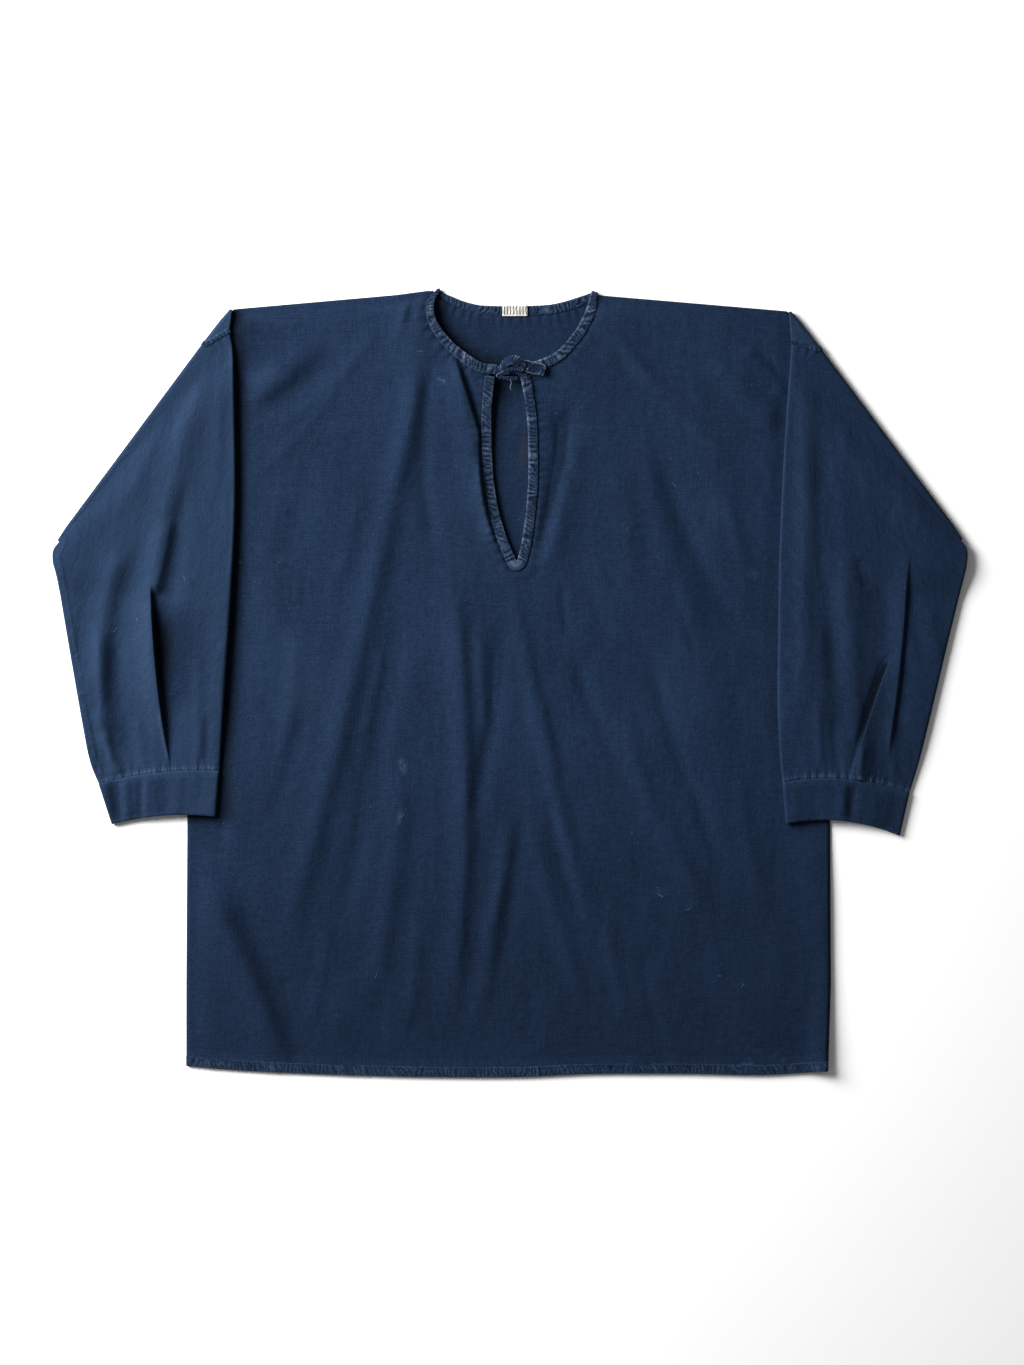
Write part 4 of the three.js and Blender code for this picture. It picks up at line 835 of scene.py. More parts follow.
def makeBack():
    columns, rows = backPanel["columns"], backPanel["rows"]
    line = np.array(outline["shoulderLine"], float)
    neckPath = offsetPath(neckBack, opening["tuckedUnder"], -1)

    def topAt(share):
        x = mix(line[0, 0] + 1, line[-1, 0] - 1, share)
        dip = np.interp(x, neckPath[:, 0], neckPath[:, 1], left=1e3, right=1e3)
        return np.stack([x, np.minimum(shoulderHeight(x) - 0.5, dip)], 1)

    x, y = panelGrid(np.linspace(0, 1, columns), np.linspace(0, 1, rows), topAt)
    x = x - np.sign(x) * 0.9 * smooth(8, 0, insideSides(x, y))
    seen = near(x, backPanel["seenReach"], backPanel["seenX"]) * smooth(90, 150, y)
    ridge, reach, middle = backPanel["ridge"]
    rolling = 0.5 + 0.5 * softNoise(x / 16, y / 26, 51) + ridge * near(x, reach, middle)
    z = np.maximum(cloth["wall"] + seen * rolling - 0.1 * (1 - seen), cloth["wall"] - 0.1)
    away, along = nearestOn(offsetPath(neckBack, opening["bandWidth"], -1), x, y)
    weave = np.stack([x, y], -1)
    faces = gridFaces(rows, columns)[:, ::-1]
    top = np.stack([x, y, z], -1).reshape(-1, 3)
    under = np.stack([x, y, 0 * z], -1).reshape(-1, 3)
    rim = [r * columns for r in range(rows)] + [(rows - 1) * columns + c for c in range(1, columns)]
    rim += [r * columns + columns - 1 for r in range(rows - 2, -1, -1)] + list(range(columns - 2, 0, -1))
    count = rows * columns
    wall = [(a, b, b + count, a + count) for a, b in zip(rim, rim[1:] + rim[:1])]
    allFaces = list(faces) + [f[::-1] + count for f in faces] + wall
    seam = np.stack([along, away], -1).reshape(-1, 2)
    # Painted shadow cast by the left neck band, the left slit binding and the knot on the back seen through the opening
    fromNeck, _ = nearestOn(neckLeft[::6], x, y)
    fromSlit, _ = nearestOn(slitLeft[::8], x, y)
    shadowShare, knotReach = backPanel["darker"], backPanel["knotReach"]
    underKnot = shadowShare["knot"] * near(x, knotReach, backPanel["knotX"]) * near(y, knotReach, backPanel["knotY"])
    underEdge = (shadowShare["slit"] + shadowShare["slitTop"] * smooth(262, 296, y)) * near(fromSlit, backPanel["slitReach"])
    underNeck = shadowShare["neck"] * near(fromNeck, backPanel["neckReach"])
    shade = -np.maximum(underNeck, np.maximum(underEdge, underKnot))
    piece = makePiece("back_cloth", np.vstack([top, under]), allFaces, np.vstack([weave.reshape(-1, 2)] * 2),
                      np.vstack([seam, seam]), np.tile(shade.ravel(), 2), indigoBack)
    turnOutwards(piece)
    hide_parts("back_panel")
    return piece


frontCloth = makeFront()
backCloth = makeBack()
print("front and back made", len(frontCloth.data.polygons), len(backCloth.data.polygons))


# Sleeves and cuffs: flattened tubes through rings

def sharesAcross(count, width, close=(0.4, 0.6, 1.0)):
    rounding = np.array([0, 0.35, 1.2, 2.6, 4.5]) / width
    middle = mix(rounding[-1], 1 - rounding[-1], spacedShares(count - 8, *close))
    return np.concatenate([rounding[:-1], middle, 1 - rounding[:-1][::-1]])


def ringShares(width, over, under, close=(0.4, 0.6, 1.0)):
    up = sharesAcross(over, width, close)
    down = sharesAcross(under, width)[1:-1][::-1]
    return np.concatenate([up, down]), np.concatenate([np.ones(len(up)), -np.ones(len(down))])


def fullness(distance, radius):
    return np.sqrt(np.clip(1 - (1 - np.clip(distance / np.maximum(radius, 1e-6), 0, 1)) ** 2, 0, 1))


def flatRing(inner, outer, over, under, inset, floorAt, thickAt, bow=0.0, relief=None, close=(0.4, 0.6, 1.0)):
    inner, outer = np.array(inner, float), np.array(outer, float)
    width = np.linalg.norm(outer - inner)
    share, up = ringShares(width, over, under, close)
    t = mix(inset / width, 1 - inset / width, share)
    x = mix(inner[0], outer[0], t)
    y = mix(inner[1], outer[1], t) + bow * 4 * t * (1 - t)
    thick = thickAt(t, x, y) - 2 * inset
    fromEdge = np.minimum(share, 1 - share) * (width - 2 * inset)
    z = floorAt(x, y) + thick / 2 + inset + up * thick * fullness(fromEdge, thick / 2) / 2
    if relief is not None:
        z = z + relief(t, x, y) * (up > 0) * smooth(0, 6, fromEdge)
    return np.stack([x, y, z], 1), t * width


def turnedRing(inner, outer, side, over, under, turn, inset, freeEnd, close=(0.4, 0.6, 1.0)):
    inner, outer = np.array(inner, float), np.array(outer, float)
    thick = 2 * cloth["wall"] + cloth["gap"] - 2 * inset
    width = np.linalg.norm(outer - inner)
    run = (outer - inner) / width
    outwards = np.array([side * abs(run[1]), abs(run[0]), 0])
    angle = turn * math.pi
    radius = sleeveShape["foldRadius"]
    middle = cloth["wall"] + cloth["gap"] / 2 + radius * (1 - math.cos(angle))
    faceUp = np.array([0, 0, math.cos(angle)]) - outwards * math.sin(angle)
    share, up = ringShares(width, over, under, close)
    t = mix(inset / width, 1 - inset / width, share)
    plan = inner + (outer - inner) * t[:, None]
    fromEdge = np.minimum(share, 1 - share) * (width - 2 * inset)
    half = up * thick * fullness(fromEdge, thick / 2) / 2
    end = sleeveShape["foldEndBulge"]
    fromFree = smooth(0, sleeveShape["foldEndTaper"], np.abs(freeEnd - t) * width)
    bulge = radius * mix(end, 1, fromFree) * math.sin(angle)
    points = np.hstack([plan, np.full((len(t), 1), middle)]) + outwards * bulge[:, None]
    return points - half[:, None] * faceUp, t * width


def tubePiece(name, rings, wall, material, wearAndShadeAt=None, seamAt=None):
    # rings: functions of an inset that give a ring's points and its distances across
    outer, inner = [ring(0) for ring in rings], [ring(wall) for ring in rings]
    size = len(outer[0][0])
    points = np.vstack([p for p, _ in outer] + [p for p, _ in inner])
    middles = np.array([p.mean(0) for p, _ in outer])
    down = runLength(middles)
    weave = np.vstack([np.stack([across, np.full(size, -d)], 1) for (_, across), d in zip(outer, down)] * 2)
    shell = gridFaces(len(rings), size, around=True)
    count = len(rings) * size
    i = np.arange(size)
    j = (i + 1) % size
    first = np.stack([i, j, j + count, i + count], 1)
    lastRow = (len(rings) - 1) * size
    last = np.stack([lastRow + j, lastRow + i, lastRow + i + count, lastRow + j + count], 1)
    faces = np.vstack([shell, shell[:, ::-1] + count, first[:, ::-1], last[:, ::-1]])
    wear = wearAndShadeAt(points) if wearAndShadeAt else None
    seam = seamAt(points) if seamAt else None
    piece = makePiece(name, points, faces, weave, seam, wear, material)
    turnOutwards(piece)
    return piece


def makeSleeve(sleeve, name, material):
    side, seam, fold = sleeve["side"], sleeve["seam"], sleeve["fold"]
    over, under = sleeveShape["acrossTop"], sleeveShape["acrossBottom"]
    radius, start = sleeveShape["foldRadius"], 2 * cloth["wall"] + cloth["gap"]
    innerEdge = curveThrough(sleeve["inner"], sleeveShape["stations"])
    outerEdge = curveThrough(sleeve["outer"], sleeveShape["stations"])
    foldedHigh = 2 * radius - sleeveShape["overBody"]
    seed, close = sleeve["seed"], sleeve["closeColumns"]
    cuffLine = bowedLine(*sleeve["cuffTop"], sleeve["bow"], 40)

    def between(a, b, t):
        return mix(np.array(a, float), np.array(b, float), t)

    rings = []
    for t in (0, 0.5):
        a, b = between(seam[0], fold[0], t), between(seam[1], fold[1], t)
        rings.append(lambda inset, a=a, b=b: turnedRing(a, b, side, over, under, 0, inset, 1, close))
    for turn in np.linspace(0, 1, sleeveShape["turnSteps"]):
        rings.append(lambda inset, turn=turn: turnedRing(fold[0], fold[1], side, over, under, turn, inset, 1, close))
    for t in np.linspace(0, 1, sleeveShape["seamRungs"] + 1)[1:-1]:
        a = between(fold[0], sleeve["inner"][0], t)
        rings.append(lambda inset, a=a: flatRing(a, fold[1], over, under, inset, lambda x, y: 0 * x + 2 * radius,
                                                 lambda t, x, y: 0 * x + start, close=close))

    def thickAt(down):
        def thick(t, x, y):
            atCuff = sleeveShape["airCuff"] / sleeveShape["airMid"]
            swell = smooth(0, 0.12, down) * mix(1, atCuff, smooth(0.75, 1, down))
            crown = mix(sleeve["airInner"], sleeveShape["airEdge"], smooth(0, 0.5, t))
            crown = crown + (sleeveShape["airMid"] - crown) * np.sin(math.pi * t)
            folds = foldsAt(sleeve["folds"], x, y) * smooth(0, 0.08, t) * smooth(0, 0.08, 1 - t)
            return np.maximum(start, start + crown * swell + folds * smooth(0, 0.1, down))
        return thick

    def reliefAt(down):
        def relief(t, x, y):
            rolling = hillsAt(sleeveShape["hills"], x, y, seed)
            away, along = nearestOn(cuffLine, x, y)
            gathers = gathersAt(sleeveShape["gathers"], along, away, seed) * smooth(0, 3, away)
            ticks = gathersAt(sleeveShape["ticks"], along, away, seed)
            return (foldsAt(sleeve["creases"], x, y) + rolling + gathers + ticks) * smooth(0, 0.06, down)
        return relief

    def raised(k, down, x):
        inside = np.abs(x - innerEdge[k, 0])
        return sleeve["innerLift"] * near(inside, 17) * smooth(0.02, 0.14, down) * smooth(1, 0.86, down)

    for k, down in enumerate(np.linspace(0, 1, sleeveShape["stations"])):
        lift = foldedHigh * (1 - smooth(0, 0.25, down))
        rings.append(lambda inset, k=k, down=down, lift=lift: flatRing(
            innerEdge[k], outerEdge[k], over, under, inset,
            lambda x, y: sleeveFloor(sleeve, x, y) + lift + raised(k, down, x), thickAt(down),
            sleeve["bow"] * smooth(0.55, 1, down), reliefAt(down) if inset == 0 else None, close))
    armLine = curveThrough([sleeve["inner"][0], fold[0]], 12)

    def seamAt(points):
        awayCuff, alongCuff = nearestOn(cuffLine, points[:, 0], points[:, 1])
        awayArm, alongArm = nearestOn(armLine, points[:, 0], points[:, 1])
        nearArm = awayArm < awayCuff
        return np.stack([np.where(nearArm, alongArm, alongCuff), np.where(nearArm, awayArm, awayCuff)], 1)

    def wearAndShadeAt(points):
        innerAway, _ = nearestOn(innerEdge, points[:, 0], points[:, 1])
        cuffAway, alongCuff = nearestOn(cuffLine, points[:, 0], points[:, 1])
        edge = sleeve["edgeWorn"] * np.exp(-innerAway / 1.6) * (points[:, 2] > 6)
        strong = sleeveShape["wear"]
        ticks = strong["ticks"] * near(cuffAway, 2.4, 2.5) * unevenWave(alongCuff, 3.6, seed + 7)
        folds = foldsAt(sleeve["folds"] + sleeve["creases"], points[:, 0], points[:, 1])
        # Painted shade and highlight from the sleeve's table, on the upper layer only
        paintedShading = foldsAt(sleeve["paintedShading"], points[:, 0], points[:, 1]) * (points[:, 2] > 3.2)
        if side < 0:
            # The felled seam of the left sleeve runs just inside its outer fold
            outerAway, alongOuter = nearestOn(outerEdge[::3], points[:, 0], points[:, 1])
            felled = strong["felled"] * unevenWave(alongOuter, 3.4, seed + 12) * near(outerAway, 2.2, 5.5)
            ticks = ticks + felled - strong["besideFelled"] * near(outerAway, 1.2, 8.6)
        raisedWorn = np.clip(strong["perHeight"] * folds, 0, 0.2)
        return np.clip(edge + ticks + raisedWorn + paintedShading, -1, strong["most"])

    return tubePiece(name, rings, cloth["wall"], material, wearAndShadeAt, seamAt)


def makeCuff(sleeve, name, material):
    over, under = cuffShape["acrossTop"], cuffShape["acrossBottom"]
    top, end = np.array(sleeve["cuffTop"], float), np.array(sleeve["cuffEnd"], float)
    endLine, topLine = bowedLine(*end, sleeve["bow"], 30), bowedLine(*top, sleeve["bow"], 30)
    deep, seed = cuffShape["deep"], sleeve["seed"]
    rings = []
    for down in np.linspace(-0.02, 1, cuffShape["stations"]):
        a, b = mix(top[0], end[0], down), mix(top[1], end[1], down)

        def relief(t, x, y, down=down):
            rolls = hillsAt(cuffShape["hills"], x, y, seed)
            grooves = sum(depth * near(away * deep, reach, at) for away, (depth, reach, at) in (
                (down, cuffShape["topGroove"]), (1 - down, cuffShape["endGroove"])))
            gathers = 0.45 * unevenWave(x, 7, seed + 5) * (math.exp(-down * 6) + math.exp(-(1 - down) * 9))
            return foldsAt(sleeve["cuffFolds"], x, y) + rolls - grooves + gathers

        rings.append(lambda inset, a=a, b=b, down=down, relief=relief: flatRing(
            a, b, over, under, inset, lambda x, y: sleeveFloor(sleeve, x, y),
            lambda t, x, y: 0 * x + 2 * cloth["cuffWall"] + mix(*cuffShape["air"], down), sleeve["bow"],
            relief if inset == 0 else None))

    def wearAndShadeAt(points):
        away, along = nearestOn(endLine, points[:, 0], points[:, 1])
        fromTop, alongTop = nearestOn(topLine, points[:, 0], points[:, 1])
        strong = cuffShape["wear"]
        worn = strong["end"] * np.exp(-away / 1.4) * (0.4 + 0.6 * unevenWave(along, 5, seed + 6))
        worn = worn + strong["top"] * np.exp(-fromTop / 0.9)
        worn = worn + strong["stitches"] * near(fromTop, 1.4, 3.4) * unevenWave(alongTop, 3.2, seed + 4)
        # Painted shade in the cuff's folds, from the sleeve's table
        return np.clip(worn + foldsAt(sleeve["cuffPaintedShade"], points[:, 0], points[:, 1]), -0.8, 0.7)

    return tubePiece(name, rings, cloth["cuffWall"], material, wearAndShadeAt)


def makeCorner(sleeve, name, material):
    top, inner, outer = sleeve["corner"]
    side, radius = sleeve["side"], sleeveShape["foldRadius"]
    count = 22
    rings = [turnedRing(top, outer, side, count, count, turn, 0, 0) for turn in np.linspace(0, 1, 12)]
    for t in np.linspace(0, 1, 8)[1:]:
        a = mix(np.array(top, float), np.array(inner, float), t)
        rings.append(flatRing(a, outer, count, count, 0, lambda x, y: 0 * x + 2 * radius,
                              lambda t, x, y: 0 * x + 2 * cloth["wall"] + cloth["gap"]))
    size = len(rings[0][0])
    points = np.vstack([p for p, _ in rings])
    weave = np.vstack([np.stack([across, np.full(size, 3.0 * i)], 1) for i, (_, across) in enumerate(rings)])
    piece = makePiece(name, points, cappedTube(len(rings), size), weave, None, np.full(len(points), 0.15), material)
    turnOutwards(piece)
    return piece


sleeveCloths = {}
for sleeve, side, material in ((sleeveLeft, "left", indigoLeft), (sleeveRight, "right", indigoRight)):
    sleeveCloth = makeSleeve(sleeve, "sleeve_cloth_" + side, material)
    cuffCloth = makeCuff(sleeve, "cuff_cloth_" + side, material)
    cornerCloth = makeCorner(sleeve, "corner_cloth_" + side, material)
    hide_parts("sleeve_" + side)
    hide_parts("cuff_" + side)
    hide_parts("shoulder_corner_" + side)
    sleeveCloths[side] = (sleeveCloth, cuffCloth, cornerCloth)
print("sleeves and cuffs made", len(sleeveCloths["left"][0].data.polygons))


# Bindings, hems and seams: strips of folded cloth along a path

bindingSection = [(0.0, 0.0), (0.25, 0.55), (1.0, 0.95), (2.6, 1.0), (4.4, 1.0), (6.2, 1.0), (7.8, 1.0), (9.2, 0.9),
                  (9.9, 0.45), (10.0, -0.4), (9.2, -0.95), (7.8, -1.0), (6.2, -1.0), (4.4, -1.0), (2.6, -1.0),
                  (1.0, -0.95), (0.25, -0.55)]
stitchColumn = {"top": 7, "turned": 10}


def stripPiece(name, path, across, up, width, thick, material, tall, spacing, seed, worn, slant=0.35, narrow=1.0):
    # The section runs from the folded edge, over the top, to the cloth side and back underneath
    section = np.array(bindingSection, float)
    c, h = section[:, 0] * width / 10, section[:, 1] * thick / 2
    s = runLength(path)
    s2, c2 = np.broadcast_arrays(s[:, None], c[None, :])
    lean = s2 + (slant + 0.7 * softNoise(s2 / 11, 0 * s2, seed + 5)) * c2
    lean = lean + 1.1 * softNoise(s2 / 3.1, c2 / 2.6, seed + 6)
    strong = 0.85 + 0.3 * softNoise(s2 / 9, c2 / 9, seed + 7)
    crest = 0.6 + strong * (puckers(lean, spacing, seed) - 0.6) + 0.18 * softNoise(s2 / 1.7, c2 / 1.5, seed + 4)
    crest = np.clip(crest, 0, 1.1)
    bell = np.clip(np.sin(math.pi * np.clip((c - 0.2) / width, 0, 1)), 0, 1) ** 0.5
    # The puckers show on the face that is turned up, also where the band has turned over
    faceUp = smooth(-0.35, 0.15, up[:, 2])[:, None]
    shown = np.where(h[None, :] > 0, faceUp, faceUp - 1) * bell[None, :]
    narrow = np.reshape(narrow, (-1, 1))
    height = h[None, :] + tall * (crest - 0.62) * shown * narrow ** 2
    spread = c[None, :] + 0.5 * (crest - 0.5) * (c[None, :] / width) - 0.35 * (crest - 0.5) * (c[None, :] < 1.5)
    spread = spread * narrow
    points = path[:, None, :] + across[:, None, :] * spread[..., None] + up[:, None, :] * height[..., None]
    weave = np.stack([s2, c2], -1)
    patchy = 0.65 + 0.6 * softNoise(s[:, None] / 7.0, 0 * s[:, None] + c[None, :] / 4, seed + 9)
    seamLine = near(c, 0.5, 0.86 * width)[None, :]
    # Painted shade in the creases between the puckers
    creased = smooth(0.42, 0.1, crest) * bell[None, :]
    rubbed = worn * patchy * (0.35 + 0.65 * faceUp)
    edges = (0.55 * (c[None, :] < 1.2) + 0.3 * (c[None, :] > 0.9 * width)) * (0.4 + crest)
    wear = rubbed * ((crest * bell[None, :]) ** 3 + edges)
    wear = np.clip(wear - 0.75 * creased - 0.3 * seamLine, -0.85, 0.9)
    piece = makePiece(name, points, cappedTube(len(path), len(c)), weave, None, wear, material)
    turnOutwards(piece)
    sewn = np.where(up[:, 2:] >= 0, points[:, stitchColumn["top"]], points[:, stitchColumn["turned"]])
    return piece, sewn


def flatFrame(path, side):
    run = directions(path)
    return np.stack([-run[:, 1] * side, run[:, 0] * side, 0 * run[:, 0]], 1)


def lifted(path, height):
    return np.column_stack([path, np.broadcast_to(height, len(path))])


def overTip(x, y, side, steps=14):
    low, radius = opening["bandThick"] / 2, opening["leastLift"] / 2
    angle = np.linspace(0, math.pi, steps)[:, None]
    lean = math.radians(opening["tipLean"])
    across = np.array([side * math.cos(lean), -math.sin(lean), 0])
    forward = np.array([side * math.sin(lean), math.cos(lean), 0])
    upright = np.array([0, 0, 1.0])
    path = np.array([x, y, low]) + forward * radius * np.sin(angle) + upright * radius * (1 + np.cos(angle))
    return path, np.tile(across, (steps, 1)), forward * np.sin(angle) + upright * np.cos(angle)


def fan(before, after, steps=8):
    t = np.linspace(0, 1, steps + 1)[1:-1, None]
    path = mix(before[0][None], after[0][None], t)
    across = mix(before[1][None], after[1][None], t)
    across = across / np.linalg.norm(across, axis=1)[:, None]
    return path, across, np.tile(before[2], (steps - 1, 1))


def flatPart(path, height, side, sign=1.0):
    # Where a strip lies flat: its path, the way across it and the way up
    return lifted(path, height), flatFrame(path, side), np.tile([0, 0, sign], (len(path), 1))


def reversedPart(part):
    return tuple(row[::-1] for row in part)


def joinedParts(parts):
    return [np.vstack([part[i] for part in parts]) for i in range(3)]


def firstOf(part):
    return [row[0] for row in part]


def lastOf(part):
    return [row[-1] for row in part]


def makeNeckBand():
    width, thick = opening["bandWidth"], opening["bandThick"]
    height = lambda p: np.maximum(frontUnder(p[:, 0], p[:, 1]), opening["leastLift"]) + thick / 2
    left, right = neckLeft[:-1], neckRight[:-1]
    leftTip = overTip(*opening["frontNeckLeft"][-1], -1)
    rightTip = reversedPart(overTip(*opening["frontNeckRight"][-1], 1))
    back = flatPart(neckBack, thick / 2, -1, -1.0)
    path, across, up = joinedParts([
        flatPart(left, height(left), 1), leftTip, fan(lastOf(leftTip), firstOf(back)), back,
        fan(lastOf(back), firstOf(rightTip)), rightTip, reversedPart(flatPart(right, height(right), -1)),
    ])
    toLeft, toRight = [np.linalg.norm(path[:, :2] - np.array(opening[edge][-1], float), axis=1)
                       for edge in ("frontNeckLeft", "frontNeckRight")]
    # The band narrows towards both tips
    narrow = 1 - 0.32 * near(np.minimum(toLeft, toRight), 9) - 0.3 * near(toLeft, 40)
    return stripPiece("neck_binding", path, across, up, width, thick, indigoTrim, narrow=narrow, **stripKinds["neck"])


def makeSlitBinding():
    thick = opening["slitThick"]
    height = lambda p: frontUnder(p[:, 0], p[:, 1]) + thick / 2
    left, right = slitLeft[:-2], slitRight[:-2][::-1]
    leftPart, rightPart = flatPart(left, height(left), -1), flatPart(right, height(right), -1)
    foot = np.array([opening["footX"], left[-1, 1] - 0.5])
    lowest = (np.array([*foot, height(foot[None])[0]]), np.array([0.0, -1, 0]), np.array([0, 0, 1.0]))
    path, across, up = joinedParts([
        leftPart, fan(lastOf(leftPart), lowest), [row[None] for row in lowest],
        fan(lowest, firstOf(rightPart)), rightPart,
    ])
    return stripPiece("slit_binding_cloth", path, across, up, opening["bandWidth"], thick, indigoTrim,
                      **stripKinds["slit"])


def makeHem(name, kind, extraLift, underAt):
    path, thick = curveThrough(outline["hem"], 760), outline["hemThick"]
    base = underAt(path[:, 0], path[:, 1] + 4) + extraLift
    across = np.tile([0, 1.0, 0], (len(path), 1))
    up = np.tile([0, 0, 1.0], (len(path), 1))
    return stripPiece(name, lifted(path, base + thick / 2), across, up, outline["hemDepth"], thick, indigoTrim,
                      **stripKinds[kind])


neckBinding, neckSewn = makeNeckBand()
slitBinding, slitSewn = makeSlitBinding()
frontHem, frontHemSewn = makeHem("front_hem", "frontHem", outline["frontHemLift"],
                                lambda x, y: frontUnder(x, y) + sideRoll(x, y))
backHem, backHemSewn = makeHem("back_hem", "backHem", 0.0, lambda x, y: 0 * x)


def makeArmholeSeam(sleeve, name, material, kind):
    # A felled seam over the folded corner: along its top, round the fold and down
    inner, outer = np.array(sleeve["corner"][1], float), np.array(sleeve["corner"][2], float)
    side, radius, half = sleeve["side"], sleeveShape["foldRadius"], cloth["wall"] + cloth["gap"] / 2
    foldRun = np.array(sleeve["fold"][1], float) - np.array(sleeve["fold"][0], float)
    foldRun /= np.linalg.norm(foldRun)
    outwards = np.array([side * abs(foldRun[1]), abs(foldRun[0])])
    middle = half + radius
    reach = radius + half + armhole["above"]
    top = mix(inner[None], outer[None], np.linspace(0.02, 1, 34)[:, None])
    topPath = lifted(top, middle + reach)
    angle = np.linspace(0, armhole["turn"], 12)[1:]
    turn = np.column_stack([outer + outwards * np.sin(angle)[:, None] * reach, middle + reach * np.cos(angle)])
    path = np.vstack([topPath, turn])
    turnUp = np.column_stack([outwards * np.sin(angle)[:, None], np.cos(angle)])
    up = np.vstack([np.tile([0, 0, 1.0], (len(top), 1)), turnUp])
    across = np.cross(up, np.gradient(path, axis=0))
    across /= np.linalg.norm(across, axis=1)[:, None]
    if across[0, 1] > 0:
        across = -across
    path = path - across * armhole["aside"]
    return stripPiece(name, path, across, up, armhole["width"], armhole["thick"], material, **stripKinds[kind])[0]


armholeSeams = [makeArmholeSeam(sleeveLeft, "armhole_seam_left", indigoLeft, "leftArmhole"),
                makeArmholeSeam(sleeveRight, "armhole_seam_right", indigoRight, "rightArmhole")]
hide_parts("neck_band")
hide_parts("slit_binding")
print("bindings and hems made")


# Stitches: one thread segment modelled once, and copied along each seam

def stitchShape(length, thick):
    bpy.ops.object.select_all(action="DESELECT")
    bpy.ops.mesh.primitive_cylinder_add(vertices=6, radius=thick / 2, depth=length, location=(0, 0, 0))
    bpy.ops.object.mode_set(mode="EDIT")
    bpy.ops.mesh.select_all(action="SELECT")
    bpy.ops.mesh.bevel(offset=thick * 0.3, segments=1)
    bpy.ops.object.mode_set(mode="OBJECT")
    shape = bpy.context.object
    points = np.array([v.co[:] for v in shape.data.vertices])
    faces = [list(p.vertices) for p in shape.data.polygons]
    bpy.data.objects.remove(shape, do_unlink=True)
    return points, faces


def stitchRow(name, line, kind, material=indigoThread, turnAcross=None):
    pitch, raised = stitchKinds[kind]["pitch"], 0.1
    points, faces = stitchShape(stitchKinds[kind]["length"], stitchKinds[kind]["thick"])
    s = runLength(line)
    at = np.arange(pitch, s[-1] - pitch, pitch)
    middles = np.stack([np.interp(at, s, line[:, k]) for k in range(3)], 1)
    ahead = np.stack([np.interp(at + 0.8, s, line[:, k]) for k in range(3)], 1) - middles
    verts, quads = [], []
    for i, (middle, run) in enumerate(zip(middles, ahead)):
        run = Vector(run if turnAcross is None else turnAcross).normalized()
        side = run.cross(Vector((0, 0, 1))).normalized()
        over = side.cross(run)
        verts.append(points @ np.array([side, over, run]) + middle + np.array(over) * raised)
        quads += [[v + i * len(points) for v in f] for f in faces]
    verts = np.vstack(verts)
    return makePiece(name, verts, quads, verts[:, :2], None, None, material)


stitches = [stitchRow(name, line[2:-2], kind) for name, line, kind in (
    ("neck_stitches", neckSewn, "binding"), ("slit_stitches", slitSewn, "binding"),
    ("front_hem_stitches", frontHemSewn, "hem"), ("back_hem_stitches", backHemSewn, "hem"))]


def topOf(pieces, path, lift=0.0):
    # The plan points set on the highest cloth below them
    seen = bpy.context.evaluated_depsgraph_get()
    trees = [BVHTree.FromObject(piece, seen) for piece in pieces]
    high = []
    for x, y in path[:, :2]:
        start = Vector(((x + place["shiftX"]) * mm, (y + place["shiftY"]) * mm, 0.05))
        hits = [tree.ray_cast(start, Vector((0, 0, -1)))[0] for tree in trees]
        high.append(max([hit.z / mm for hit in hits if hit is not None], default=3.0) + lift)
    return np.column_stack([path[:, :2], high])


def cuffRow(sleeve, side, fromTop):
    share = np.linspace(0.03, 0.97, 70)[:, None]
    top, end = np.array(sleeve["cuffTop"], float), np.array(sleeve["cuffEnd"], float)
    a, b = mix(top, end, fromTop / cuffShape["deep"])
    plan = mix(a, b, share) + np.hstack([0 * share, sleeve["bow"] * 4 * share * (1 - share)])
    return topOf([sleeveCloths[side][1]], plan)


for sleeve, side in ((sleeveLeft, "left"), (sleeveRight, "right")):
    [stitchRow(f"cuff_stitches_{side}_{row}", cuffRow(sleeve, side, down), "cuff")
                          for row, down in (("top", 2.6), ("end", 42.0))]
outerSeam = offsetPath(curveThrough(sleeveLeft["outer"], 160)[10:-3], 6.6, 1)
sleeveStitches = stitchRow("sleeve_seam_stitches", topOf([sleeveCloths["left"][0]], outerSeam), "seam")
print("stitches made")


# Tapes: the tie, its knot and the label

